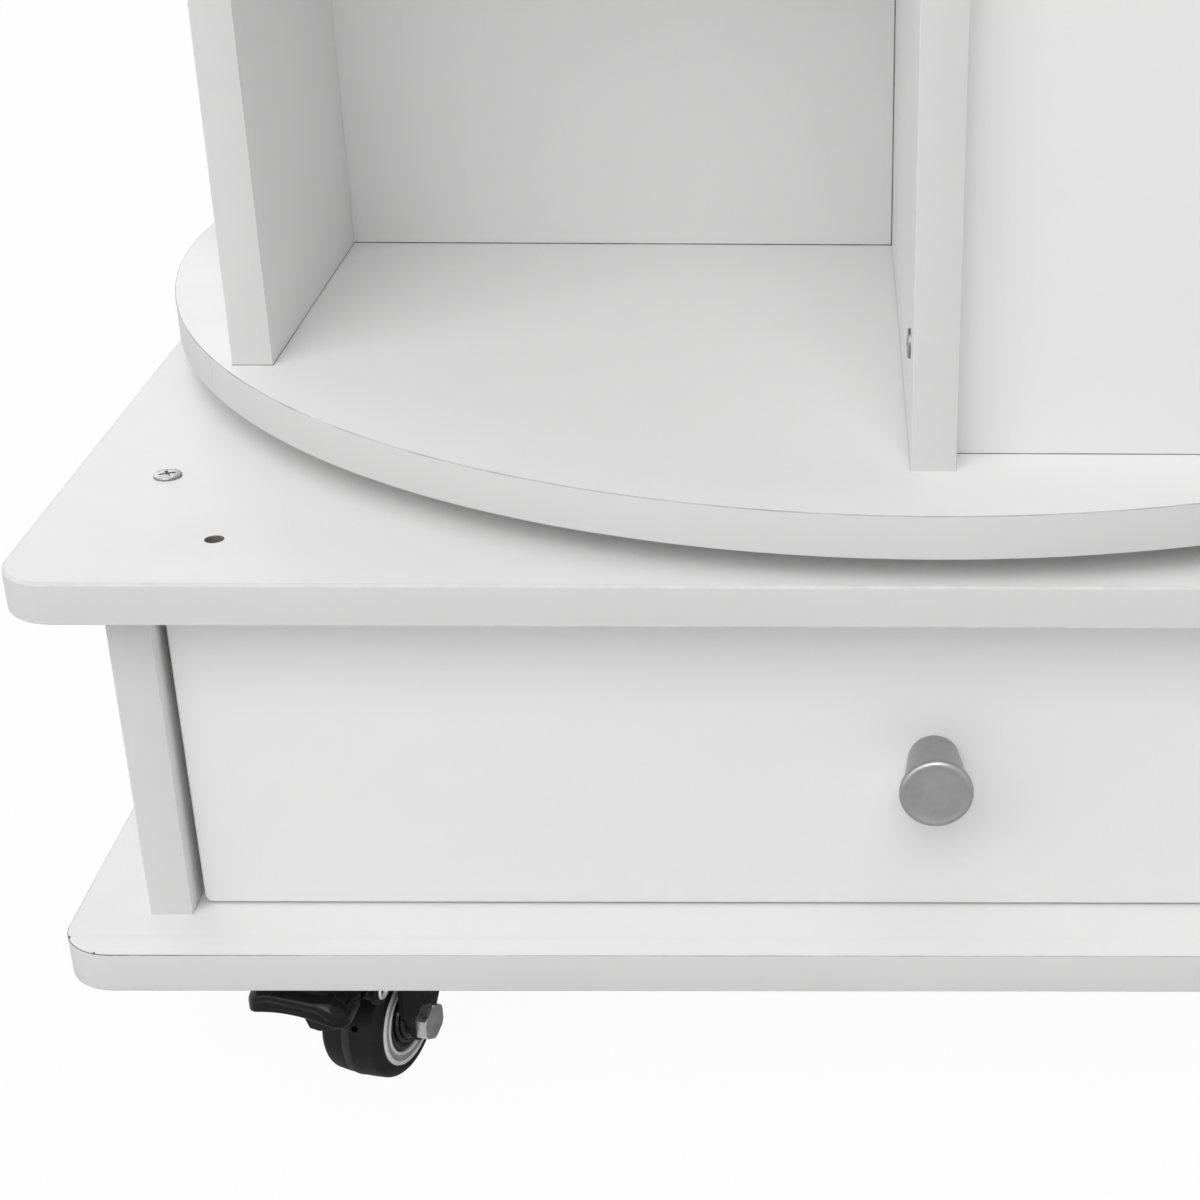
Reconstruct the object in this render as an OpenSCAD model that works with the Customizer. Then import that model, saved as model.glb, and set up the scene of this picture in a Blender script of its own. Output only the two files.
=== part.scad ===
// Rotating bookshelf: a square base on four casters with one drawer, and on a
// ball bearing a round tower of four tiers. Each tier has a cross of panels and
// four outer walls, so that each side of the tower holds one open bay.
// Origin on the floor under the tower's axis. The drawer opens towards -Y.

/* [Boards] */
// Thickness of the laminated boards
board_t = 15; // [12:0.5:18]

/* [Base] */
// Width and depth of the two base boards
base_w = 608; // [590:2:640]
// Corner radius of the two base boards
base_corner_r = 19; // [10:1:40]
// Clear height between the two base boards
base_open_h = 127; // [120:1:160]
// Distance from the edge of the base boards to the side panels
side_inset = 27; // [20:1:40]
// Distance from the front and rear edges of the base boards to the side panels
end_inset = 26; // [20:1:40]
// Distance from the centre to the screws along each side panel
side_screw_y = 212; // [150:1:240]
// Distance from the centre to the screws along the back panel
back_screw_x = 120; // [60:1:200]
// Sideways place of the open holes near the front corners of the top board
corner_hole_x = 239.5; // [220:0.5:250]
// Distance from the front edge to the open holes
corner_hole_inset = 36; // [20:1:60]

/* [Drawer] */
// Gap beside the drawer front
drawer_gap_side = 3; // [2:0.5:5]
// Gap above and below the drawer front
drawer_gap_z = 0.8; // [0.5:0.1:4]
// Distance that the drawer front sits behind the side panels' front edges
drawer_setback = 7; // [0:0.5:8]
// Depth of the drawer box behind its front
drawer_depth = 450; // [400:5:480]
// Height of the drawer box
drawer_box_h = 90; // [80:1:100]
// Thickness of the drawer's sides and back
drawer_side_t = 12; // [10:0.5:15]
// Thickness of the drawer bottom
drawer_bottom_t = 3; // [2.5:0.5:5]
// Height of the drawer bottom above the lower edge of the drawer sides
drawer_bottom_lift = 8; // [6:1:12]
// Distance from the drawer front's lower edge to the drawer sides' lower edge
drawer_box_lift = 6; // [4:1:12]

/* [Knob] */
// Diameter of the knob's face
knob_d = 25.5; // [24:0.5:32]
// Diameter of the knob's foot
knob_foot_d = 18; // [14:0.5:20]
// Distance that the knob stands out
knob_len = 26.5; // [24:0.5:34]
// Thickness of the knob's rim
knob_rim_t = 2.8; // [2.4:0.1:5]
// Sideways place of the knob from the middle of the drawer
knob_offset = 2.5; // [-10:0.5:10]
// Distance of the knob below the middle of the drawer front
knob_drop = 2.5; // [0:0.5:10]

/* [Drawer slides] */
// Height of the fixed rails
rail_h = 35; // [30:1:45]
// Total thickness of a slide, between side panel and drawer side
slide_t = 12.7; // [12:0.1:14]
// Sheet thickness of the rails
rail_sheet_t = 1.2; // [1:0.1:1.5]
// Diameter of the balls in the slides
rail_ball_d = 4; // [3.5:0.25:5]
// Distance that the drawer opens
drawer_travel = 300; // [250:5:320]

/* [Turntable] */
// Diameter of the round boards
round_d = 616; // [600:2:640]
// Height of the turntable bearing, between the base and the lowest round board
bearing_h = 11; // [10:0.5:14]
// Diameter of the ring of balls
race_d = 240; // [200:5:280]
// Diameter of the turntable balls
ball_d = 5; // [4.5:0.25:6]
// Number of turntable balls
ball_n = 48; // [24:4:60]
// Sheet thickness of the bearing plates
plate_t = 1.5; // [1.2:0.1:2]

/* [Tower] */
// Clear height of each tier
tier_h = 320; // [280:5:380]
// Width across the outer walls
tower_w = 508; // [480:2:530]
// Distance that the cross panels stand out past the outer walls
cross_overhang = 16; // [10:1:20]
// Length of each outer wall
wall_len = 160; // [120:5:200]
// Distance from the cross panels' middle to the upright fasteners in them
cross_fix_r = 180; // [170:5:220]
// Distance from the cross panels' middle to the upright fasteners in the walls
wall_fix_x = 100; // [60:5:130]
// Height of the wall screws and cross dowels above and below the round boards
wall_screw_z = 36; // [25:1:80]

/* [Fasteners] */
// Head diameter of the panel screws
screw_head_d = 10; // [8:0.5:12]
// Height of the proud part of a panel screw's head
screw_head_t = 1; // [0.5:0.25:1.5]
// Shank diameter of the panel screws
screw_shank_d = 7; // [6:0.25:7.5]
// Core diameter of the panel screws' thread
screw_core_d = 5; // [4:0.25:5.5]
// Length of the panel screws under the head
screw_len = 50; // [40:1:60]
// Diameter of the tower's dowels
dowel_d = 8; // [6:0.5:9]
// Length of the tower's dowels
dowel_len = 40; // [36:1:50]
// Diameter of the drawer's dowels
small_dowel_d = 6; // [5:0.5:7]
// Length of the drawer's dowels
small_dowel_len = 30; // [24:1:34]
// Diameter of the pan-head screws in the plates
plate_screw_d = 4; // [3:0.25:5]
// Diameter of the countersunk screws in the rails
rail_screw_d = 3.5; // [2.5:0.25:4]
// Depth that the small screws reach into a board
small_screw_len = 10; // [7:0.5:10.5]

/* [Casters] */
// Overall height of a caster
caster_h = 72; // [70:1:80]
// Sideways place of the casters' swivel axes
caster_x = 199; // [150:1:220]
// Front and rear place of the casters' swivel axes
caster_y = 230; // [180:1:230]
// Heading of the front left caster at rest
caster_heading = -19.5; // [-45:0.5:45]
// Diameter of the wheels
wheel_d = 50; // [46:1:50]
// Width of the wheels' tread
wheel_w = 24.8; // [20:0.2:26]
// Distance from the swivel axis back to the wheel's axle
caster_trail = 20; // [16:1:24]
// Diameter of the axle bolts
axle_d = 8; // [6:0.5:8.5]
// Sheet thickness of the forks
fork_t = 2; // [1.5:0.25:2.5]
// Width across the outside of a fork
fork_w = 38; // [36:0.5:42]
// Width of the brake pedals
pedal_w = 42; // [36:1:44]
// Distance that a brake pedal reaches out from the wheel's axle
pedal_reach = 55; // [50:1:56]

/* [Hidden] */

$fn = 96;
// Facets of the large round boards, and of the tread's arc
rim_fn = 288;
// Overshoot of a cut past the face that it opens
eps = 1;
// Running clearance on a radius, and clearance of a loose seat
fit = 0.05;
// Gap between faces that turn past each other
run_gap = 0.3;
// Relief at the bottom of a blind hole
relief = 1;

// Heights of the base
bottom_z = caster_h;
base_floor_z = bottom_z + board_t;
top_z = base_floor_z + base_open_h;
base_top_z = top_z + board_t;

// Side panels and back panel of the base
side_out_x = base_w / 2 - side_inset;
side_in_x = side_out_x - board_t;
side_mid_x = side_out_x - board_t / 2;
panel_end_y = base_w / 2 - end_inset;
back_mid_y = panel_end_y - board_t / 2;

// Drawer: faces of its front, box and rails
front_y = -panel_end_y + drawer_setback;
box_y = front_y + board_t;
front_half_w = side_in_x - drawer_gap_side;
front_z = base_floor_z + drawer_gap_z;
front_h = base_open_h - 2 * drawer_gap_z;
box_z = front_z + drawer_box_lift;
box_out_x = side_in_x - slide_t;
box_in_x = box_out_x - drawer_side_t;
box_back_y = box_y + drawer_depth;
bottom_panel_z = box_z + drawer_bottom_lift;
groove_d = drawer_side_t / 2;
drawer_dowel_places = [0.3, 0.75];
knob_z = front_z + front_h / 2 - knob_drop;
knob_neck_r = 0.455 * knob_d;
knob_edge_r = 1.5;
knob_bolt_d = 4;
knob_bolt_grip = 11;
knob_bolt_head_t = 2.6;

// Slides: balls run between the flanges of the fixed and the moving rails
rail_inset = 5;
rail_len = drawer_depth - 2 * rail_inset;
rail_z = box_z + drawer_box_h / 2;
rail_y = box_y + rail_inset;
rail_ball_z = rail_h / 2 - rail_sheet_t - rail_ball_d / 2 - fit;
inner_rail_h = 2 * (rail_ball_z - rail_ball_d / 2 - fit);
rail_depth = 0.75 * slide_t;
moving_screw_len = rail_sheet_t + 0.7 * drawer_side_t;
rail_ball_x = slide_t / 2;
cage_t = 0.8;
cage_len = rail_len - drawer_travel - 2 * rail_inset;
cage_ball_n = 6;
rail_screw_places = [0.08, 0.5, 0.92];

// Heights of the tower
turntable_z = base_top_z + bearing_h;
tier_pitch = tier_h + board_t;
tier_n = 4;
function round_z(i) = turntable_z + i * tier_pitch;
function tier_z(i) = round_z(i) + board_t;

// Plan of the cross and the walls
cross_reach = tower_w / 2 + cross_overhang;
wall_mid_y = tower_w / 2 - board_t / 2;
half_t = board_t / 2;

// Turntable bearing
race_z = base_top_z + bearing_h / 2;
race_r = race_d / 2;
race_half_w = ball_d / 2 + 3.5;
race_gap = 1.8;
skirt_gap = 2;
upper_plate_z = turntable_z - plate_t;
lower_plate_w = race_d + 20;
lower_corner_r = 12;
upper_plate_r = race_r + 20;
plate_eye_r = race_r / 2;
lower_fix = lower_plate_w / 2 - lower_corner_r;
upper_fix_r = race_r - 25;
upper_fix_n = 6;

// Screws: countersinks, heads and holes
sink_h = (screw_head_d - screw_shank_d) / 2;
plate_head_d = 2 * plate_screw_d;
plate_head_t = 2;
plate_hole_d = plate_screw_d + 2 * fit;
rail_head_d = 1.8 * rail_screw_d;

// Casters: heights above the floor, and distances from the swivel axis. Those that end in
// back are measured in the trailing direction
caster_names = ["front_left", "front_right", "rear_left", "rear_right"];
caster_sides = [[-1, -1], [1, -1], [-1, 1], [1, 1]];
caster_turns = [0, 33, -14, 24];
mount_t = 2.5;
mount_size = [60, 50];
mount_corner_r = 5;
mount_fix = [44, 34];
crown_z = caster_h - 10;
crown_t = 2.5;
crown_front = -15;
crown_back = 12;
wheel_r = wheel_d / 2;
fork_in = fork_w / 2 - fork_t;
king_r = 4;
king_head_r = 7;
king_head_t = 2.2;
collar_r = 17;
tread_crown = 2.2;
hub_r = 0.76 * wheel_r;
hub_ring_r = 0.54 * wheel_r;
hub_boss_r = axle_d / 2 + 2.5;
hex_af = 13;
hex_r = hex_af / sqrt(3);
hex_head_t = 4.4;
nut_t = 6.5;
boss_r = 8;
ear_back = caster_trail + 27;
ear_z = wheel_r + 31;
ear_r = 5.5;
pin_r = 2;
pin_head_r = 3.2;
pin_head_t = 1.2;
pedal_t = 2.2;
pedal_hub_r = 4.4;
tip_back = caster_trail + pedal_reach;
pedal_top_z = ear_z + 10;
lip_h = 9.5;
tongue_w = 18;

// Shapes used by more than one piece

// Plate on the XY plane with round corners
module round_plate(size, r, t) {
    linear_extrude(t) {
        square([size[0] - 2 * r, size[1]], center = true);
        square([size[0], size[1] - 2 * r], center = true);
        for (x = [-1, 1], y = [-1, 1])
            translate([x * (size[0] / 2 - r), y * (size[1] / 2 - r)]) circle(r);
    }
}

// Panel screw along +Z: its head's underside plane is z = 0
module panel_screw() {
    translate([0, 0, -screw_head_t])
        cylinder(h = screw_head_t, d1 = screw_head_d - screw_head_t, d2 = screw_head_d);
    cylinder(h = sink_h, d1 = screw_head_d, d2 = screw_shank_d);
    cylinder(h = board_t, d = screw_shank_d);
    translate([0, 0, board_t]) cylinder(h = screw_len - board_t, d = screw_core_d);
}

// Room for a panel screw, with clearance all round
module panel_screw_hole() {
    translate([0, 0, -screw_head_t - eps])
        cylinder(h = screw_head_t + eps, d = screw_head_d + 2 * fit);
    cylinder(h = sink_h, d1 = screw_head_d + 2 * fit, d2 = screw_shank_d + 2 * fit);
    cylinder(h = board_t, d = screw_shank_d + 2 * fit);
    cylinder(h = screw_len + relief, d = screw_core_d + 2 * fit);
}

// Pan-head screw along +Z: its head lies below z = 0 and its shank reaches len above it
module pan_screw(len) {
    translate([0, 0, -plate_head_t])
        cylinder(h = plate_head_t, d1 = 0.75 * plate_head_d, d2 = plate_head_d);
    cylinder(h = len, d = plate_screw_d);
}

// Countersunk screw along +Z: the flat of its head is at z = 0. grow widens it to its hole
module flat_screw(len, grow) {
    head_r = rail_head_d / 2 + grow;
    shank_r = rail_screw_d / 2 + grow;
    cylinder(h = head_r - shank_r, r1 = head_r, r2 = shank_r);
    cylinder(h = len, r = shank_r);
}

module flat_screw_hole(len) {
    translate([0, 0, -eps]) cylinder(h = eps, r = rail_head_d / 2 + fit);
    flat_screw(len + relief, fit);
}

// Dowel along +Z, centred on the origin, with chamfered ends
module dowel(d, len) {
    chamfer = d / 10;
    cylinder(h = len - 2 * chamfer, d = d, center = true);
    for (s = [0, 1]) mirror([0, 0, s]) translate([0, 0, len / 2 - chamfer])
        cylinder(h = chamfer, d1 = d, d2 = d - 2 * chamfer);
}

module dowel_hole(d, len) {
    cylinder(h = len + 2 * relief, d = d + 2 * fit, center = true);
}

module each_side() { for (s = [0, 1]) mirror([s, 0, 0]) children(); }
module each_quarter() { for (a = [0, 90, 180, 270]) rotate([0, 0, a]) children(); }

// Places of the fasteners in the base

module at_top_screws() {
    each_side() {
        for (y = [-side_screw_y, side_screw_y])
            translate([side_mid_x, y, base_top_z]) rotate([180, 0, 0]) children();
        translate([back_screw_x, back_mid_y, base_top_z]) rotate([180, 0, 0]) children();
    }
}

module at_bottom_screws() {
    each_side() {
        for (y = [-side_screw_y, side_screw_y])
            translate([side_mid_x, y, bottom_z + screw_head_t]) children();
        translate([back_screw_x, back_mid_y, bottom_z + screw_head_t]) children();
    }
}

module at_lower_plate_screws() {
    for (x = [-lower_fix, lower_fix], y = [-lower_fix, lower_fix])
        translate([x, y, base_top_z + plate_t]) rotate([180, 0, 0]) children();
}

module at_caster_plate_screws() {
    for (s = caster_sides, x = [-0.5, 0.5], y = [-0.5, 0.5])
        translate([s[0] * caster_x + x * mount_fix[0], s[1] * caster_y + y * mount_fix[1],
                   caster_h - mount_t]) children();
}

module at_fixed_rail_screws() {
    each_side() for (k = rail_screw_places)
        translate([side_in_x - rail_sheet_t, rail_y + k * rail_len, rail_z])
            rotate([0, 90, 0]) children();
}

// Places of the fasteners in the drawer

module at_moving_rail_screws() {
    each_side() for (k = rail_screw_places)
        translate([box_out_x + rail_sheet_t, rail_y + k * rail_len, rail_z])
            rotate([0, -90, 0]) children();
}

// The drawer's dowels reach through two thirds of the front, and of the sides
module at_front_dowels() {
    dowel_y = box_y - board_t * 2 / 3 + small_dowel_len / 2;
    each_side() for (z = drawer_dowel_places)
        translate([box_out_x - drawer_side_t / 2, dowel_y, box_z + z * drawer_box_h])
            rotate([90, 0, 0]) children();
}

module at_back_dowels() {
    dowel_x = box_in_x + drawer_side_t * 2 / 3 - small_dowel_len / 2;
    each_side() for (z = drawer_dowel_places)
        translate([dowel_x, box_back_y - drawer_side_t / 2, box_z + z * drawer_box_h])
            rotate([0, 90, 0]) children();
}

// Places of the fasteners in the tower

// The screws that hold the outer walls of tier i through the cross panels
module at_wall_screws(i) {
    each_quarter() for (z = [wall_screw_z, tier_h - wall_screw_z])
        translate([-half_t, -wall_mid_y, tier_z(i) + z]) rotate([0, 90, 0]) children();
}

// The dowels that join the two wings through the centre panel of tier i
module at_cross_dowels(i) {
    for (z = [wall_screw_z, tier_h - wall_screw_z])
        translate([0, 0, tier_z(i) + z]) rotate([0, 90, 0]) children();
}

// Upright fasteners: one in each arm of the cross and one in each outer wall
module at_upright() {
    each_quarter() {
        translate([0, -cross_fix_r, 0]) children();
        translate([wall_fix_x, -wall_mid_y, 0]) children();
    }
}

module at_shelf_dowels(i) { at_upright() translate([0, 0, round_z(i) + half_t]) children(); }

module at_floor_screws() {
    at_upright() translate([0, 0, turntable_z + screw_head_t]) children();
}

module at_roof_screws() {
    at_upright() translate([0, 0, tier_z(tier_n) - screw_head_t]) rotate([180, 0, 0]) children();
}

// All holes that the tower's panels and walls of tier i share with their neighbours
module tier_holes(i) {
    at_wall_screws(i) panel_screw_hole();
    at_cross_dowels(i) dowel_hole(dowel_d, dowel_len);
    if (i == 0) at_floor_screws() panel_screw_hole();
    if (i > 0) at_shelf_dowels(i) dowel_hole(dowel_d, dowel_len);
    if (i < tier_n - 1) at_shelf_dowels(i + 1) dowel_hole(dowel_d, dowel_len);
    if (i == tier_n - 1) at_roof_screws() panel_screw_hole();
}

// Base

module base_board() { round_plate([base_w, base_w], base_corner_r, board_t); }

module bottom_board() {
    color("white") difference() {
        translate([0, 0, bottom_z]) base_board();
        at_bottom_screws() panel_screw_hole();
        at_caster_plate_screws() cylinder(h = mount_t + small_screw_len + relief, d = plate_hole_d);
    }
}

module top_board() {
    color("white") difference() {
        translate([0, 0, top_z]) base_board();
        at_top_screws() panel_screw_hole();
        at_lower_plate_screws() cylinder(h = plate_t + small_screw_len + relief, d = plate_hole_d);
        each_side() translate([corner_hole_x, corner_hole_inset - base_w / 2, top_z - eps])
            cylinder(h = board_t + 2 * eps, d = screw_shank_d);
    }
}

module side_panel() {
    difference() {
        translate([side_in_x, -panel_end_y, base_floor_z])
            cube([board_t, 2 * panel_end_y, base_open_h]);
        at_top_screws() panel_screw_hole();
        at_bottom_screws() panel_screw_hole();
        at_fixed_rail_screws() flat_screw_hole(rail_sheet_t + small_screw_len);
    }
}

module side_panel_left() { color("white") mirror([1, 0, 0]) side_panel(); }
module side_panel_right() { color("white") side_panel(); }

module back_panel() {
    color("white") difference() {
        translate([-side_in_x, panel_end_y - board_t, base_floor_z])
            cube([2 * side_in_x, board_t, base_open_h]);
        at_top_screws() panel_screw_hole();
        at_bottom_screws() panel_screw_hole();
    }
}

module base_screws() {
    color("silver") {
        at_top_screws() panel_screw();
        at_bottom_screws() panel_screw();
    }
}

// Small screws of the base: for the turntable's lower plate, the caster plates and the rails
module plate_screws() {
    color("silver") {
        at_lower_plate_screws() pan_screw(plate_t + small_screw_len);
        at_caster_plate_screws() pan_screw(mount_t + small_screw_len);
        at_fixed_rail_screws() flat_screw(rail_sheet_t + small_screw_len, 0);
    }
}

// Drawer slides. Cross-sections have x = 0 on the side panel, growing towards the drawer, and
// y = 0 on the slide's middle

// Channel with its web on the line x = 0, open towards +X
module channel_section(depth, h) {
    translate([0, -h / 2]) square([rail_sheet_t, h]);
    for (s = [0, 1]) mirror([0, s])
        translate([0, h / 2 - rail_sheet_t]) square([depth, rail_sheet_t]);
}

module cage_section() {
    web_x = rail_sheet_t + fit + cage_t / 4;
    translate([web_x, -rail_ball_z - cage_t / 2]) square([cage_t, 2 * rail_ball_z + cage_t]);
    for (s = [-1, 1])
        translate([web_x, s * rail_ball_z - cage_t / 2]) square([rail_ball_x - web_x, cage_t]);
}

// Runs a cross-section along the right slide, and its mirror image along the left
module along_slides(y, len) {
    each_side() translate([side_in_x, y + len, rail_z]) rotate([90, 0, 0])
        linear_extrude(len) mirror([1, 0]) children();
}

module slide_rails_fixed() {
    color("gainsboro") difference() {
        along_slides(rail_y, rail_len) channel_section(rail_depth, rail_h);
        at_fixed_rail_screws() flat_screw_hole(rail_sheet_t + small_screw_len);
    }
}

module slide_rails_moving() {
    color("gainsboro") difference() {
        along_slides(rail_y, rail_len)
            translate([slide_t, 0]) mirror([1, 0]) channel_section(rail_depth, inner_rail_h);
        at_moving_rail_screws() flat_screw_hole(moving_screw_len);
    }
}

module slide_ball_cages() {
    cage_y = rail_y + (rail_len - cage_len) / 2;
    ball_pitch = cage_len / cage_ball_n;
    color("gray") {
        along_slides(cage_y, cage_len) cage_section();
        each_side() for (s = [-1, 1], k = [0 : cage_ball_n - 1])
            translate([side_in_x - rail_ball_x, cage_y + (k + 0.5) * ball_pitch, rail_z + s * rail_ball_z])
                sphere(d = rail_ball_d);
    }
}

// Drawer

module bottom_groove(grow) {
    translate([-box_in_x - groove_d - grow, box_y - groove_d - grow, bottom_panel_z - grow])
        cube([2 * (box_in_x + groove_d + grow), box_back_y - box_y + groove_d + grow + eps,
              drawer_bottom_t + 2 * grow]);
}

module drawer_front() {
    color("white") difference() {
        translate([-front_half_w, front_y, front_z]) cube([2 * front_half_w, board_t, front_h]);
        bottom_groove(fit);
        at_front_dowels() dowel_hole(small_dowel_d, small_dowel_len);
        knob_bolt_hole();
    }
}

module drawer_side() {
    difference() {
        translate([box_in_x, box_y, box_z]) cube([drawer_side_t, drawer_depth, drawer_box_h]);
        bottom_groove(fit);
        at_front_dowels() dowel_hole(small_dowel_d, small_dowel_len);
        at_back_dowels() dowel_hole(small_dowel_d, small_dowel_len);
        at_moving_rail_screws() flat_screw_hole(moving_screw_len);
    }
}

module drawer_side_left() { color("white") mirror([1, 0, 0]) drawer_side(); }
module drawer_side_right() { color("white") drawer_side(); }

// The back stands on the bottom, which slides in under it
module drawer_back() {
    back_z = bottom_panel_z + drawer_bottom_t;
    color("white") difference() {
        translate([-box_in_x, box_back_y - drawer_side_t, back_z])
            cube([2 * box_in_x, drawer_side_t, box_z + drawer_box_h - back_z]);
        at_back_dowels() dowel_hole(small_dowel_d, small_dowel_len);
    }
}

module drawer_bottom() {
    color("white") translate([-box_in_x - groove_d, box_y - groove_d, bottom_panel_z])
        cube([2 * (box_in_x + groove_d), box_back_y - box_y + groove_d, drawer_bottom_t]);
}

module drawer_dowels() {
    color("burlywood") {
        at_front_dowels() dowel(small_dowel_d, small_dowel_len);
        at_back_dowels() dowel(small_dowel_d, small_dowel_len);
    }
}

// Knob: profile of radius and distance from the drawer front. The stem widens to its neck, and
// a quarter round leads from the neck into the rim, whose front edge is rounded
module knob_profile() {
    rim_r = knob_d / 2;
    flare_r = rim_r - knob_neck_r;
    rim_z = knob_len - knob_rim_t;
    polygon([[0, 0], [knob_foot_d / 2, 0], [knob_neck_r, rim_z - flare_r], [knob_neck_r, rim_z],
             [0, rim_z]]);
    difference() {
        translate([0, rim_z - flare_r]) square([rim_r, flare_r]);
        translate([rim_r, rim_z - flare_r]) circle(flare_r);
    }
    translate([0, rim_z]) square([rim_r, knob_rim_t - knob_edge_r]);
    translate([0, rim_z]) square([rim_r - knob_edge_r, knob_rim_t]);
    translate([rim_r - knob_edge_r, knob_len - knob_edge_r]) circle(knob_edge_r);
}

module at_knob() { translate([knob_offset, front_y, knob_z]) rotate([90, 0, 0]) children(); }

module knob_bolt_hole() {
    at_knob() translate([0, 0, -board_t - eps])
        cylinder(h = board_t + 2 * eps, d = knob_bolt_d + 4 * fit);
}

module drawer_knob() {
    color("darkgray") at_knob() difference() {
        rotate_extrude() knob_profile();
        translate([0, 0, -eps]) cylinder(h = knob_bolt_grip + relief + eps, d = knob_bolt_d + 2 * fit);
    }
}

// Screws of the drawer: one holds the knob from inside, the others hold the moving rails
module drawer_screws() {
    head_r = 0.95 * knob_bolt_d;
    color("silver") {
        at_knob() translate([0, 0, -board_t - knob_bolt_head_t]) {
            cylinder(h = knob_bolt_head_t, r1 = 0.8 * head_r, r2 = head_r);
            cylinder(h = knob_bolt_head_t + board_t + knob_bolt_grip, d = knob_bolt_d);
        }
        at_moving_rail_screws() flat_screw(moving_screw_len, 0);
    }
}

// Turntable: two pressed plates, each with a raised ring that carries one half of the ball race

// Cross-section of a race ring from height z0 to z1
module race_section(z0, z1) {
    difference() {
        translate([race_r - race_half_w, z0]) square([2 * race_half_w, z1 - z0]);
        translate([race_r, race_z]) circle(ball_d / 2 + fit);
    }
}

module turntable_lower_plate() {
    color("silver") difference() {
        union() {
            translate([0, 0, base_top_z]) round_plate([lower_plate_w, lower_plate_w], lower_corner_r, plate_t);
            rotate_extrude() race_section(base_top_z + plate_t, race_z - race_gap / 2);
        }
        translate([0, 0, base_top_z - eps]) cylinder(h = plate_t + 2 * eps, r = plate_eye_r);
        at_lower_plate_screws() translate([0, 0, -eps]) cylinder(h = plate_t + 2 * eps, d = plate_hole_d);
    }
}

module at_upper_plate_screws() {
    for (k = [0 : upper_fix_n - 1]) rotate([0, 0, (k + 0.5) * 360 / upper_fix_n])
        translate([upper_fix_r, 0, upper_plate_z]) children();
}

module turntable_upper_plate() {
    skirt_r = upper_plate_r - plate_t;
    skirt_h = bearing_h - 2 * plate_t - skirt_gap;
    color("silver") difference() {
        union() {
            translate([0, 0, upper_plate_z]) cylinder(h = plate_t, r = upper_plate_r);
            rotate_extrude() {
                race_section(race_z + race_gap / 2, upper_plate_z);
                translate([skirt_r, upper_plate_z - skirt_h]) square([plate_t, skirt_h]);
            }
        }
        translate([0, 0, upper_plate_z - eps]) cylinder(h = plate_t + 2 * eps, r = plate_eye_r);
        at_upper_plate_screws() translate([0, 0, -eps]) cylinder(h = plate_t + 2 * eps, d = plate_hole_d);
    }
}

module turntable_screws() {
    color("silver") at_upper_plate_screws() pan_screw(plate_t + small_screw_len);
}

module turntable_balls() {
    color("silver") for (k = [0 : ball_n - 1]) rotate([0, 0, k * 360 / ball_n])
        translate([race_r, 0, race_z]) sphere(d = ball_d);
}

// Tower

module round_board(i) {
    color("white") difference() {
        translate([0, 0, round_z(i)]) cylinder(h = board_t, d = round_d, $fn = rim_fn);
        if (i == 0) {
            at_floor_screws() panel_screw_hole();
            at_upper_plate_screws() cylinder(h = plate_t + small_screw_len + relief, d = plate_hole_d);
        } else if (i == tier_n) {
            at_roof_screws() panel_screw_hole();
        } else {
            at_shelf_dowels(i) dowel_hole(dowel_d, dowel_len);
        }
    }
}

module centre_panel(i) {
    color("white") difference() {
        translate([-half_t, -cross_reach, tier_z(i)]) cube([board_t, 2 * cross_reach, tier_h]);
        tier_holes(i);
    }
}

module wing_panels(i) {
    color("white") difference() {
        each_side() translate([half_t, -half_t, tier_z(i)]) cube([cross_reach - half_t, board_t, tier_h]);
        tier_holes(i);
    }
}

module outer_walls(i) {
    color("white") difference() {
        each_quarter() translate([half_t, -tower_w / 2, tier_z(i)]) cube([wall_len, board_t, tier_h]);
        tier_holes(i);
    }
}

module tower_screws() {
    color("silver") {
        for (i = [0 : tier_n - 1]) at_wall_screws(i) panel_screw();
        at_floor_screws() panel_screw();
        at_roof_screws() panel_screw();
    }
}

module tower_dowels() {
    color("burlywood") {
        for (i = [0 : tier_n - 1]) at_cross_dowels(i) dowel(dowel_d, dowel_len);
        for (i = [1 : tier_n - 1]) at_shelf_dowels(i) dowel(dowel_d, dowel_len);
    }
}

// Casters. In a caster's own frame the swivel axis is Z, the wheel trails towards -Y, and the
// axle lies along X

module at_caster(i) {
    translate([caster_sides[i][0] * caster_x, caster_sides[i][1] * caster_y, 0])
        rotate([0, 0, caster_heading + caster_turns[i]]) children();
}

module at_axle() { translate([0, -caster_trail, wheel_r]) rotate([0, 90, 0]) children(); }

module at_ears() { translate([0, -ear_back, ear_z]) rotate([0, 90, 0]) children(); }

// Gives width w to a side view, which is drawn as distance back and height
module side_view(w) {
    translate([-w / 2, 0, 0]) rotate([90, 0, 90]) linear_extrude(w) mirror([1, 0]) children();
}

// Fixed part: mounting plate, collar over the swivel balls, and riveted king pin
module caster_plate() {
    plate_z = caster_h - mount_t;
    collar_z = crown_z + run_gap;
    king_z = crown_z - crown_t - run_gap;
    translate([0, 0, plate_z]) difference() {
        round_plate(mount_size, mount_corner_r, mount_t);
        for (x = [-0.5, 0.5], y = [-0.5, 0.5])
            translate([x * mount_fix[0], y * mount_fix[1], -eps])
                cylinder(h = mount_t + 2 * eps, d = plate_hole_d);
    }
    translate([0, 0, collar_z]) cylinder(h = plate_z - collar_z, r1 = collar_r, r2 = collar_r - 3);
    translate([0, 0, king_z]) cylinder(h = collar_z - king_z, r = king_r);
    translate([0, 0, king_z - king_head_t])
        cylinder(h = king_head_t, r1 = king_head_r - 1.5, r2 = king_head_r);
}

module caster_plates() {
    color("dimgray") for (s = caster_sides)
        translate([s[0] * caster_x, s[1] * caster_y, 0]) caster_plate();
}

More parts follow.
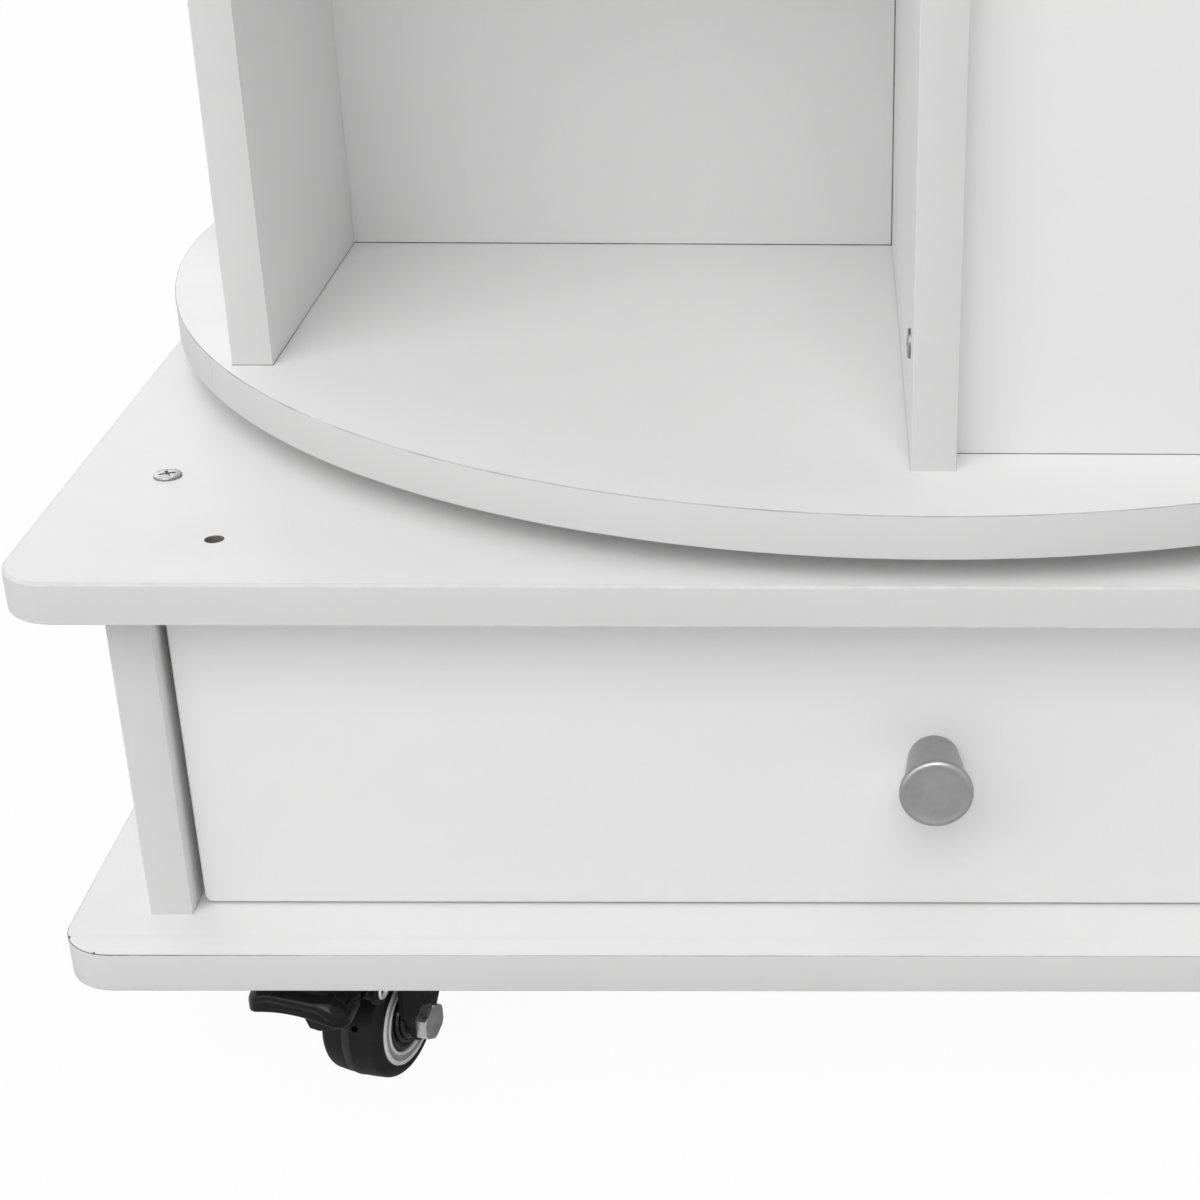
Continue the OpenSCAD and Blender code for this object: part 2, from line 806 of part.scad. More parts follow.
// Side view of a fork leg: it narrows from the crown to the boss at the axle. A braked caster's
// leg also has an ear behind the wheel for the pedal's pin
module leg_view(braked) {
    knee = [caster_trail + 13, wheel_r + 18];
    polygon([[crown_front, crown_z], [caster_trail - boss_r, wheel_r + 2],
             [caster_trail + boss_r, wheel_r + 2], knee,
             [crown_back + 14, crown_z - 4], [crown_back, crown_z]]);
    translate([caster_trail, wheel_r]) circle(boss_r);
    if (braked) {
        polygon([[crown_back, crown_z], [ear_back, ear_z + ear_r],
                 [ear_back - 0.7 * ear_r, ear_z - 0.7 * ear_r], knee]);
        translate([ear_back, ear_z]) circle(ear_r);
    }
}

module fork_crown() {
    translate([0, -(crown_front + crown_back) / 2, 0])
        round_plate([fork_w, crown_back - crown_front], mount_corner_r, crown_t);
    cylinder(h = crown_t, r = fork_w / 2);
}

// The crown turns on the king pin. The legs carry the axle, and the ears the pedal's pin
module caster_fork(i) {
    braked = i < 2;
    color("black") at_caster(i) difference() {
        union() {
            each_side() translate([fork_in + fork_t / 2, 0, 0]) side_view(fork_t) leg_view(braked);
            translate([0, 0, crown_z - crown_t]) fork_crown();
            if (braked) pedal_pin();
        }
        translate([0, 0, crown_z - crown_t - eps]) cylinder(h = crown_t + 2 * eps, r = king_r + fit);
        at_axle() cylinder(h = fork_w + 2 * eps, r = axle_d / 2 + fit, center = true);
    }
}

// Pin of the brake pedal, riveted through the fork's ears
module pedal_pin() {
    at_ears() {
        cylinder(h = fork_w, r = pin_r, center = true);
        for (s = [0, 1]) mirror([0, 0, s]) translate([0, 0, fork_w / 2])
            cylinder(h = pin_head_t, r1 = pin_head_r, r2 = pin_head_r - 1);
    }
}

// Tyre: tread that falls away towards its sides in a circular arc
module tyre_section() {
    half_w = wheel_w / 2;
    arc_r = (half_w * half_w + tread_crown * tread_crown) / (2 * tread_crown);
    intersection() {
        translate([hub_r, -half_w]) square([wheel_r - hub_r, wheel_w]);
        translate([wheel_r - arc_r, 0]) circle(arc_r, $fn = rim_fn);
    }
}

module caster_tyre(i) {
    color("black") at_caster(i) at_axle() rotate_extrude() tyre_section();
}

// Hub: outer ring with a shallow groove, then a cover that steps out to the boss at the axle
module hub_section() {
    face_x = wheel_w / 2 + 0.2;
    boss_x = fork_in - run_gap;
    bore_r = axle_d / 2 + fit;
    groove_w = 1.2;
    step_r = 1.9;
    step_h = (boss_x - face_x + 1) / 3;
    for (s = [0, 1]) mirror([0, s]) difference() {
        translate([bore_r, 0]) {
            square([hub_r - bore_r, face_x]);
            square([hub_boss_r - bore_r, boss_x]);
            for (k = [1, 2])
                square([hub_ring_r - groove_w / 2 - k * step_r - bore_r, face_x - 1 + k * step_h]);
        }
        translate([hub_ring_r - groove_w, face_x - 1]) square([groove_w, 1 + eps]);
        translate([(hub_ring_r + hub_r) / 2, face_x]) circle(0.8);
    }
}

module caster_hub(i) {
    color("gray") at_caster(i) at_axle() rotate_extrude() hub_section();
}

// Axle bolt with its hexagon head, and the nut on its other end
module axle_bolt(i) {
    bolt_len = fork_w + nut_t + 0.5;
    color("silver") at_caster(i) at_axle() {
        translate([0, 0, fork_w / 2 - bolt_len]) cylinder(h = bolt_len, d = axle_d);
        translate([0, 0, fork_w / 2]) cylinder(h = hex_head_t, r = hex_r, $fn = 6);
        translate([0, 0, -fork_w / 2 - nut_t]) difference() {
            cylinder(h = nut_t, r = hex_r, $fn = 6);
            translate([0, 0, -eps]) cylinder(h = nut_t + 2 * eps, r = axle_d / 2 + fit);
        }
    }
}

// Brake pedal: a pressed lever that turns on the pin between the fork's ears. Its outer end
// widens to a down-turned lip, and a tongue under it presses on the tread
module pedal_side_view() {
    nose_r = 4.5;
    lip_back = tip_back - pedal_t;
    nose = [tip_back - nose_r, pedal_top_z - nose_r];
    polygon([[ear_back, ear_z + pedal_hub_r], [nose[0], pedal_top_z], [tip_back, nose[1]],
             [tip_back, pedal_top_z - lip_h + 1], [tip_back - 1, pedal_top_z - lip_h],
             [lip_back, pedal_top_z - lip_h], [lip_back, nose[1]], [nose[0], pedal_top_z - pedal_t],
             [ear_back + 3, ear_z + 3], [ear_back, ear_z]]);
    translate(nose) intersection() {
        difference() {
            circle(nose_r);
            circle(nose_r - pedal_t);
        }
        square(nose_r);
    }
}

module pedal_plan_view() {
    corner_r = 6;
    root_w = 2 * fork_in - 5;
    root_back = ear_back + 8;
    flare_back = tip_back - 8;
    half_w = pedal_w / 2;
    polygon([[-root_w / 2, ear_back - 5], [root_w / 2, ear_back - 5], [root_w / 2, root_back],
             [half_w, flare_back], [half_w, tip_back - corner_r], [half_w - corner_r, tip_back],
             [corner_r - half_w, tip_back], [-half_w, tip_back - corner_r], [-half_w, flare_back],
             [-root_w / 2, root_back]]);
    for (s = [-1, 1]) translate([s * (half_w - corner_r), tip_back - corner_r]) circle(corner_r);
}

module tongue_view() {
    tongue_end_z = ear_z - 18;
    polygon([[ear_back + 7, ear_z + 5], [ear_back + 9.4, ear_z + 5], [ear_back + 6.2, tongue_end_z],
             [ear_back + 4, tongue_end_z]]);
}

module brake_pedal(i) {
    color("black") at_caster(i) difference() {
        union() {
            intersection() {
                side_view(pedal_w) pedal_side_view();
                linear_extrude(caster_h) mirror([0, 1]) pedal_plan_view();
            }
            side_view(tongue_w) tongue_view();
            at_ears() cylinder(h = 2 * (fork_in - run_gap), r = pedal_hub_r, center = true);
        }
        at_ears() cylinder(h = fork_w, r = pin_r + fit, center = true);
    }
}

// Pieces, by node

bottom_board();
top_board();
side_panel_left();
side_panel_right();
back_panel();
base_screws();
slide_rails_fixed();
turntable_lower_plate();
plate_screws();
caster_plates();
drawer_front();
drawer_side_left();
drawer_side_right();
drawer_back();
drawer_bottom();
drawer_knob();
drawer_screws();
slide_rails_moving();
drawer_dowels();
slide_ball_cages();
round_board(0);  // turntable_board
for (i = [1 : tier_n - 1]) round_board(i);
round_board(tier_n);  // round_top
for (i = [0 : tier_n - 1]) {
    centre_panel(i);
    wing_panels(i);
    outer_walls(i);
}
tower_screws();
tower_dowels();
turntable_upper_plate();
turntable_screws();
turntable_balls();
for (i = [0 : len(caster_names) - 1]) {
    caster_fork(i);
    caster_tyre(i);
    caster_hub(i);
    axle_bolt(i);
}
for (i = [0, 1])
    brake_pedal(i);
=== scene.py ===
"""Looks of the rotating bookshelf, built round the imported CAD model. Metres, in the CAD's frame.

A piece NODE_dressed stands in for the CAD node NODE and rides on its body. The nodes without one
keep their CAD shape and get a material. Nothing here is random: all noise is in object space.
"""

import math

import bpy
from mathutils import Matrix, Vector
from mathutils.geometry import tessellate_polygon


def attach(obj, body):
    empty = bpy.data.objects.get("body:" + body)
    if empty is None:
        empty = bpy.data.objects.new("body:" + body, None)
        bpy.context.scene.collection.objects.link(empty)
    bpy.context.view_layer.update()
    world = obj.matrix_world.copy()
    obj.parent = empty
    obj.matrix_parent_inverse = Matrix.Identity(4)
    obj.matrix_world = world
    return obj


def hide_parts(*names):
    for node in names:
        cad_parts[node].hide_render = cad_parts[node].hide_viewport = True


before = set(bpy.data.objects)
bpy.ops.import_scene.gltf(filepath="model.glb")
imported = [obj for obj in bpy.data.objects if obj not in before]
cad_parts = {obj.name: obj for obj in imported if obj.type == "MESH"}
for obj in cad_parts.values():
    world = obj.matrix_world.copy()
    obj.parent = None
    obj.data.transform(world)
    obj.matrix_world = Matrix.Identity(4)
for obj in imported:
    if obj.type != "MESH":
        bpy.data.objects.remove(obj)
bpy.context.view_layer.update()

MM = 0.001
TAU = 2 * math.pi

# Camera: the photograph's, in its 1200 x 1200 frame

PHOTO = 1200
FOCAL_PX = 2266.4
CENTRE_PX = (856.2, 697.6)
CAMERA_AT = (-0.0341, -0.9659, 0.5318)
PITCH, YAW, ROLL = 0.4781, 0.0134, -0.0088
SENSOR = 36
CLIP_NEAR, CLIP_FAR = 0.05, 50


def make_camera():
    level = math.cos(PITCH)
    ahead = Vector((math.sin(YAW) * level, math.cos(YAW) * level, -math.sin(PITCH)))
    right = Vector((math.cos(YAW), -math.sin(YAW), 0))
    down = ahead.cross(right)
    x_axis = right * math.cos(ROLL) + down * math.sin(ROLL)
    y_axis = right * math.sin(ROLL) - down * math.cos(ROLL)
    data = bpy.data.cameras.new("camera")
    data.sensor_width = SENSOR
    data.lens = FOCAL_PX * SENSOR / PHOTO
    data.shift_x = (PHOTO / 2 - CENTRE_PX[0]) / PHOTO
    data.shift_y = (CENTRE_PX[1] - PHOTO / 2) / PHOTO
    data.clip_start = CLIP_NEAR
    data.clip_end = CLIP_FAR
    camera = bpy.data.objects.new("camera", data)
    turn = Matrix((x_axis, y_axis, -ahead)).transposed().to_4x4()
    camera.matrix_world = Matrix.Translation(CAMERA_AT) @ turn
    bpy.context.collection.objects.link(camera)
    bpy.context.scene.camera = camera


make_camera()
bpy.context.scene.view_settings.view_transform = "Standard"

# Sizes, as in the CAD source

BOARD = 15 * MM
HALF_T = BOARD / 2
BASE = 608 * MM
BASE_CORNER = 19 * MM
BOTTOM_Z = 72 * MM
TOP_Z = 214 * MM
SIDE_OUT, SIDE_IN = 277 * MM, 262 * MM
END_Y = 278 * MM
CORNER_HOLE_X, CORNER_HOLE_Y = 239.5 * MM, -268 * MM
FRONT_Y = -271 * MM
FRONT_HALF, FRONT_Z, FRONT_H = 259 * MM, 87.8 * MM, 125.4 * MM
KNOB_X, KNOB_Z = 2.5 * MM, 148 * MM
TURN_Z = 240 * MM
TIER_N = 4
TIER_H, PITCH_Z = 320 * MM, 335 * MM
ROUND_R = 308 * MM
REACH = 270 * MM
WALL_OUT, WALL_MID, WALL_IN = 254 * MM, 246.5 * MM, 239 * MM
WALL_LEN = 160 * MM
SCREW_HEAD_R, SCREW_HEAD_T = 5 * MM, 1 * MM
DISC_SCREWS = ((0, -180 * MM), (100 * MM, -WALL_MID))
WALL_SCREW_Z = 36 * MM
CASTER_X, CASTER_Y = 199 * MM, 230 * MM
HEADING = -19.5
# For each caster: its side along X and along Y, and its turn from the common heading.
CASTERS = {
    "front_left": (-1, -1, 0),
    "front_right": (1, -1, 33),
    "rear_left": (-1, 1, -14),
    "rear_right": (1, 1, 24),
}
TRAIL, WHEEL_R = 20 * MM, 25 * MM

# Materials

NOISE_RANGE = (0.3, 0.7)  # most of a noise's values lie in it
MIX_A, MIX_B, MIX_COLOUR = 6, 7, 2  # sockets of a colour mix
WORN_CORNER = (-0.3, -0.3, BOTTOM_Z + BOARD)
WORN_SPAN = (0.03, 0.11)  # distances from it where the wear is full and where it ends


def rgba(colour):
    """Four channels from a grey level or from three. A socket is passed through."""
    if isinstance(colour, bpy.types.NodeSocket):
        return colour
    return (*colour, 1) if isinstance(colour, tuple) else (colour, colour, colour, 1)


class Shader:
    """A Principled material and short calls for the nodes that feed it."""

    def __init__(self, name, **values):
        self.material = bpy.data.materials.new(name)
        self.material.use_nodes = True
        self.tree = self.material.node_tree
        self.bsdf = self.tree.nodes["Principled BSDF"]
        self.coord = self.tree.nodes.new("ShaderNodeTexCoord").outputs["Object"]
        for key, value in values.items():
            self.bsdf.inputs[key.replace("_", " ")].default_value = value

    def node(self, kind, inputs, **attributes):
        made = self.tree.nodes.new(kind)
        for key, value in attributes.items():
            setattr(made, key, value)
        for key, value in inputs.items():
            if isinstance(value, bpy.types.NodeSocket):
                self.tree.links.new(value, made.inputs[key])
            else:
                made.inputs[key].default_value = value
        return made

    def feed(self, socket, value):
        self.tree.links.new(value, self.bsdf.inputs[socket])

    def stretched(self, scale):
        made = self.node("ShaderNodeMapping", {"Vector": self.coord, "Scale": scale})
        return made.outputs["Vector"]

    def noise(self, scale, detail=2.0, vector=None):
        inputs = {"Vector": vector or self.coord, "Scale": scale, "Detail": detail}
        return self.node("ShaderNodeTexNoise", inputs).outputs["Fac"]

    def tone(self, value, dark, light):
        """A colour that goes from dark to light as the value crosses a noise's range."""
        made = self.node("ShaderNodeValToRGB", {"Fac": value})
        elements = made.color_ramp.elements
        for element, position, colour in zip(elements, NOISE_RANGE, (dark, light)):
            element.position = position
            element.color = rgba(colour)
        return made.outputs["Color"]

    def spread(self, value, low, high, span=NOISE_RANGE):
        """Maps the span of a value to low..high, and holds it there outside the span."""
        inputs = {"Value": value, "From Min": span[0], "From Max": span[1],
                  "To Min": low, "To Max": high}
        return self.node("ShaderNodeMapRange", inputs).outputs["Result"]

    def mix(self, factor, first, second):
        inputs = {"Factor": factor, MIX_A: rgba(first), MIX_B: rgba(second)}
        return self.node("ShaderNodeMix", inputs, data_type="RGBA").outputs[MIX_COLOUR]

    def distance(self, point):
        inputs = {0: self.coord, 1: point}
        return self.node("ShaderNodeVectorMath", inputs, operation="DISTANCE").outputs["Value"]

    def bump(self, height, depth):
        made = self.node("ShaderNodeBump", {"Height": height, "Distance": depth})
        self.feed("Normal", made.outputs["Normal"])


def laminate():
    """White melamine: a faint pearl grain, and a tone and gloss that drift over the board."""
    s = Shader("white_laminate", Specular_IOR_Level=0.35)
    dark, light = (0.874, 0.873, 0.873), (0.896, 0.895, 0.894)
    s.feed("Base Color", s.tone(s.noise(7.0, 3.0), dark, light))
    s.feed("Roughness", s.spread(s.noise(60.0), 0.42, 0.52))
    s.bump(s.noise(1500.0), 0.00004)
    return s.material


def edge_band():
    """White edge banding, a little greyer than the laminate, with a fine planed grain."""
    s = Shader("edge_band", Specular_IOR_Level=0.35)
    dark, light = (0.722, 0.721, 0.72), (0.744, 0.743, 0.742)
    s.feed("Base Color", s.tone(s.noise(11.0), dark, light))
    s.feed("Roughness", s.spread(s.noise(90.0), 0.38, 0.5))
    s.bump(s.noise(700.0), 0.00003)
    return s.material


def soft_arris():
    """Scraped joint of banding and laminate, white all through."""
    s = Shader("soft_arris", Specular_IOR_Level=0.3)
    s.feed("Base Color", s.tone(s.noise(160.0, 3.0), 0.74, 0.83))
    s.feed("Roughness", s.spread(s.noise(300.0), 0.45, 0.65))
    return s.material


def joint_line():
    """Joint of banding and laminate: a thin grey line, dark where the corner is worn."""
    s = Shader("joint_line", Specular_IOR_Level=0.2)
    faint = s.tone(s.noise(60.0, 3.0), 0.45, 0.7)
    worn = s.tone(s.noise(160.0, 3.0), 0.14, 0.4)
    near = s.spread(s.distance(WORN_CORNER), 1.0, 0.0, WORN_SPAN)
    s.feed("Base Color", s.mix(near, faint, worn))
    s.feed("Roughness", s.spread(s.noise(300.0), 0.6, 0.8))
    return s.material


def foot_shadow_and_chips():
    """Dark grey: painted contact shadow in the joint under an upright board and along a wing's
    butt end, and raw chipboard where banding is chipped.
    """
    s = Shader("foot_shadow_and_chips", Specular_IOR_Level=0.1)
    s.feed("Base Color", s.tone(s.noise(80.0, 3.0), 0.16, 0.34))
    s.feed("Roughness", s.spread(s.noise(300.0), 0.7, 0.9))
    return s.material


def chipboard():
    """Raw chipboard inside a drilled hole."""
    s = Shader("chipboard", Specular_IOR_Level=0.1)
    cells = {"Vector": s.stretched((1, 1, 2.5)), "Scale": 900.0}
    chips = s.node("ShaderNodeTexVoronoi", cells).outputs["Distance"]
    wood = s.tone(s.noise(500.0, 3.0), (0.22, 0.215, 0.21), (0.40, 0.39, 0.38))
    between = s.spread(chips, 0.0, 0.5, (0.1, 0.6))
    s.feed("Base Color", s.mix(between, wood, (0.14, 0.135, 0.13)))
    s.feed("Roughness", s.spread(s.noise(400.0), 0.8, 0.95))
    s.bump(s.noise(900.0), 0.0003)
    return s.material


def metal(name, dark, light, rough, grain, stretch=(1, 1, 1), tone_scale=120.0):
    """A metal finish. Its tone, gloss and grain (scale, depth) vary along its working marks."""
    s = Shader(name, Metallic=1.0)
    scale, depth = grain
    along = s.stretched(stretch)
    s.feed("Base Color", s.tone(s.noise(tone_scale, 3.0, along), dark, light))
    s.feed("Roughness", s.spread(s.noise(scale / 2, 2.0, along), *rough))
    s.bump(s.noise(scale, 2.0, along), depth)
    return s.material


def coated(name, dark, light, rough, grain, dust=0.0, specular=0.4):
    """Paint or moulded plastic: orange peel (scale, depth), drifting gloss and a little dust."""
    s = Shader(name, Specular_IOR_Level=specular)
    scale, depth = grain
    tone = s.tone(s.noise(60.0, 4.0), dark, light)
    if dust:
        specks = s.spread(s.noise(2400.0), 0.0, dust, (0.62, 0.8))
        tone = s.mix(specks, tone, 0.35)
    s.feed("Base Color", tone)
    s.feed("Roughness", s.spread(s.noise(180.0), *rough))
    s.bump(s.noise(scale), depth)
    return s.material


def beech():
    """Dowels, with the fibre along Z."""
    s = Shader("dowel_beech", Specular_IOR_Level=0.3)
    fibre = s.noise(300.0, 4.0, s.stretched((1, 1, 0.1)))
    s.feed("Base Color", s.tone(fibre, (0.55, 0.38, 0.22), (0.74, 0.56, 0.37)))
    s.feed("Roughness", s.spread(fibre, 0.6, 0.75))
    s.bump(fibre, 0.0001)
    return s.material


# Grains as (scale of the noise, depth in metres).
SCREW_GRAIN = (1500.0, 0.00004)
RUBBER_GRAIN = (1600.0, 0.00003)
RING_GRAIN = (1300.0, 0.00004)
ALONG_RAIL = (1, 0.02, 1)
MAT = {
    "laminate": laminate(),
    "band": edge_band(),
    "soft": soft_arris(),
    "joint": joint_line(),
    # foot: painted contact shadow at the feet of upright boards, raw chipboard in the chips
    "foot": foot_shadow_and_chips(),
    "chipboard": chipboard(),
    "screw": metal("zinc_screw", 0.32, 0.48, (0.22, 0.36), SCREW_GRAIN, tone_scale=500.0),
    # The rim's side and the cross recess are darker copies of the same zinc: painted shade.
    "rim": metal("screw_rim_painted_shade", 0.2, 0.32, (0.3, 0.42), SCREW_GRAIN, tone_scale=500.0),
    "recess": metal("screw_recess_painted_shade", 0.05, 0.1, (0.4, 0.5), SCREW_GRAIN, tone_scale=500.0),
    "plate": metal("zinc_plate", 0.45, 0.62, (0.28, 0.42), (300.0, 0.00003), tone_scale=40.0),
    "rail": metal("slide_steel", 0.5, 0.66, (0.25, 0.35), (600.0, 0.00002), ALONG_RAIL, 90.0),
    "ball": metal("ball_steel", 0.6, 0.7, (0.08, 0.14), (800.0, 0.000005)),
    "nickel": metal("satin_nickel", 0.34, 0.38, (0.34, 0.42), (2500.0, 0.000012),
                    tone_scale=200.0),
    "bolt": metal("bright_bolt", 0.75, 0.88, (0.24, 0.4), (900.0, 0.00003), tone_scale=250.0),
    "bolt_face": metal("forged_bolt_face", 0.36, 0.44, (0.42, 0.55), (700.0, 0.00004),
                       tone_scale=250.0),
    "fork": coated("black_fork", 0.004, 0.008, (0.3, 0.42), (900.0, 0.00003), specular=0.12),
    "pedal": coated("black_pedal", 0.004, 0.008, (0.12, 0.2), (900.0, 0.00002), specular=0.18),
    "tyre": coated("black_tyre", 0.010, 0.018, (0.42, 0.55), RUBBER_GRAIN, 0.04, 0.15),
    # tread_line: a lighter band along the ridge, a painted highlight
    "tread_line": coated("tread_line_painted_highlight", 0.04, 0.06, (0.5, 0.6), RUBBER_GRAIN,
                         specular=0.15),
    "ring": coated("grey_ring", 0.9, 0.96, (0.35, 0.5), RING_GRAIN, 0.1, 0.3),
    # groove: the same grey plastic, darker as painted shade in the recess
    "groove": coated("ring_groove_painted_shade", 0.4, 0.48, (0.5, 0.6), RING_GRAIN, specular=0.2),
    "cover": coated("black_cover", 0.006, 0.012, (0.12, 0.2), (1200.0, 0.00002),
                    specular=0.45),
    "caster_plate": coated("caster_plate", 0.012, 0.02, (0.35, 0.5), (700.0, 0.00003)),
    "beech": beech(),
}

# Pieces


class Piece:
    """Collects shapes into one mesh. A shape is (points, faces, kind of each face)."""

    def __init__(self, name):
        self.name = name
        self.points, self.faces, self.indices, self.materials = [], [], [], []

    def add(self, shape, materials, place):
        """Adds a shape. Materials is one name for all of it, or one for each kind of face."""
        points, faces, kinds = shape
        if isinstance(materials, str):
            materials = [materials] * (max(kinds) + 1)
        for name in materials:
            if MAT[name] not in self.materials:
                self.materials.append(MAT[name])
        first = len(self.points)
        self.points += [place @ Vector(p) for p in points]
        flip = place.to_3x3().determinant() < 0
        for face, kind in zip(faces, kinds):
            face = [first + i for i in face]
            self.faces.append(face[::-1] if flip else face)
            self.indices.append(self.materials.index(MAT[materials[kind]]))
        return self

    def done(self, body, slot, *nodes, smooth=35):
        mesh = bpy.data.meshes.new(self.name)
        mesh.from_pydata(self.points, [], self.faces)
        for material in self.materials:
            mesh.materials.append(material)
        for polygon, index in zip(mesh.polygons, self.indices):
            polygon.material_index = index
            polygon.use_smooth = True
        mesh.set_sharp_from_angle(angle=math.radians(smooth))
        piece = bpy.data.objects.new(self.name, mesh)
        bpy.context.collection.objects.link(piece)
        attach(piece, body)
        if nodes:
            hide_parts(*nodes)


def dress(node, body, slot, *parts, smooth=35):
    """Makes the piece that replaces a node, from parts (shape, materials, place)."""
    piece = Piece(f"{node}_dressed")
    for part in parts:
        piece.add(*part)
    piece.done(body, slot, node, smooth=smooth)


# Places


def at(x=0.0, y=0.0, z=0.0, rx=0.0, ry=0.0, rz=0.0):
    """Turns about X, Y and Z in that order, in degrees, and then moves."""
    turn = Matrix.Rotation(math.radians(rz), 4, "Z") @ Matrix.Rotation(math.radians(ry), 4, "Y")
    return Matrix.Translation((x, y, z)) @ turn @ Matrix.Rotation(math.radians(rx), 4, "X")


def quarter(k):
    """A turn about Z by k right angles."""
    return Matrix.Rotation(k * math.pi / 2, 4, "Z")


def plane_x(x):
    """Puts a slab that is drawn as (y, z) on the plane at x. It gets its thickness along X."""
    return Matrix(((0, 0, 1, x), (1, 0, 0, 0), (0, 1, 0, 0), (0, 0, 0, 1)))


def plane_y(y):
    """Puts a slab that is drawn as (z, x) on the plane at y. It gets its thickness along Y."""
    return Matrix(((0, 1, 0, 0), (0, 0, 1, y), (1, 0, 0, 0), (0, 0, 0, 1)))


def moved(shape, place):
    """The shape at a place, for a cutter that meets another shape there."""
    points, faces, kinds = shape
    return [tuple(place @ Vector(p)) for p in points], faces, kinds


# Outlines: points in a plane, anticlockwise


def rectangle(x0, y0, x1, y1):
    return [(x0, y0), (x1, y0), (x1, y1), (x0, y1)]


def arc(centre, r, a0, a1, steps=6):
    """Points on an arc, from angle a0 to a1 in degrees."""
    turns = [math.radians(a0 + (a1 - a0) * k / steps) for k in range(steps + 1)]
    return [(centre[0] + r * math.cos(t), centre[1] + r * math.sin(t)) for t in turns]


def circle(r, n, centre=(0, 0)):
    turns = [TAU * k / n for k in range(n)]
    return [(centre[0] + r * math.cos(t), centre[1] + r * math.sin(t)) for t in turns]


def rounded_rectangle(w, h, r, steps=12):
    points = []
    for side_x, side_y, start in ((1, 1, 0), (-1, 1, 90), (-1, -1, 180), (1, -1, 270)):
        centre = (side_x * (w / 2 - r), side_y * (h / 2 - r))
        points += arc(centre, r, start, start + 90, steps)
    return points


def scaled(points):
    """Turns a profile or an outline in millimetres into metres."""
    return [(a * MM, b * MM) for a, b in points]


def inset(outline, d):
    """The outline moved inwards by d, a number or one for each point."""
    made = []
    n = len(outline)
    for i in range(n):
        p, a, b = (Vector(outline[j % n]) for j in (i, i - 1, i + 1))
        before, after = (p - a).normalized(), (b - p).normalized()
        n1, n2 = Vector((-before.y, before.x)), Vector((-after.y, after.x))
        mitre = (n1 + n2) / max(1e-6, 1 + n1.dot(n2))
        made.append(tuple(p + mitre * (d[i] if isinstance(d, list) else d)))
    return made


def dense(outline, step):
    """The outline with points added, so that no side is longer than step."""
    made = []
    for i, p in enumerate(outline):
        q = outline[(i + 1) % len(outline)]
        parts = max(1, math.ceil(math.dist(p, q) / step))
        made += [(p[0] + (q[0] - p[0]) * k / parts, p[1] + (q[1] - p[1]) * k / parts)
                 for k in range(parts)]
    return made


def tangent_outline(circles):
    """The outline round circles (x, y, r) taken anticlockwise. With r 0 a corner is sharp."""
    points = []
    n = len(circles)
    for i in range(n):
        last, this, following = circles[i - 1], circles[i], circles[(i + 1) % n]
        turns = []
        for (xa, ya, ra), (xb, yb, rb) in ((last, this), (this, following)):
            d = math.hypot(xb - xa, yb - ya)
            along = math.atan2(yb - ya, xb - xa)
            lean = math.asin(max(-1.0, min(1.0, (rb - ra) / d)))
            turns.append(along - math.pi / 2 - lean)
        a0, a1 = turns
        while a1 < a0 - 1e-9:
            a1 += TAU
        x, y, r = this
        steps = max(2, int((a1 - a0) / math.radians(8))) if r else 0
        bend = [a0 + (a1 - a0) * k / steps for k in range(steps + 1)] if r else [a0]
        points += [(x + r * math.cos(t), y + r * math.sin(t)) for t in bend]
    return points


# Shapes

FACE, EDGE, ROUND, HOLE, FOOT = range(5)  # kinds of a slab's faces


def strip(a, b, n):
    """Faces between two rings of n points that start at a and b."""
    return [[a + i, a + (i + 1) % n, b + (i + 1) % n, b + i] for i in range(n)]


def slab(outline, t, arris, holes=(), steps=3, feet=()):
    """A board from 0 to t with rounded arrises, those on the sides listed as feet of kind FOOT."""
    n = len(outline)
    turns = [math.pi / 2 * k / steps for k in range(steps + 1)]
    rings = [(arris * (1 - math.sin(a)), arris * (1 - math.cos(a))) for a in turns]
    rings += [(d, t - z) for d, z in reversed(rings)]
    points, faces, kinds = [], [], []
    for d, z in rings:
        points += [(x, y, z) for x, y in inset(outline, d)]
    for k in range(len(rings) - 1):
        faces += strip(k * n, (k + 1) * n, n)
        kinds += [EDGE if k == steps else FOOT if side in feet else ROUND for side in range(n)]
    rise = (len(rings) - 1) * n
    flat = [Vector((*p, 0)) for p in inset(outline, arris)]
    loops, lower, upper = [flat], list(range(n)), list(range(rise, rise + n))
    for hole in holes:
        start, m = len(points), len(hole)
        points += [(x, y, 0) for x, y in hole] + [(x, y, t) for x, y in hole]
        faces += [f[::-1] for f in strip(start, start + m, m)]
        kinds += [HOLE] * m
        loops.append([Vector((*p, 0)) for p in hole])
        lower += range(start, start + m)
        upper += range(start + m, start + 2 * m)
    for tri in tessellate_polygon(loops):
        p, q, r = (Vector(points[upper[i]]) for i in tri)
        tri = tri if (q - p).cross(r - p).z > 0 else tri[::-1]
        faces += [[upper[i] for i in tri], [lower[i] for i in tri[::-1]]]
        kinds += [FACE, FACE]
    return points, faces, kinds


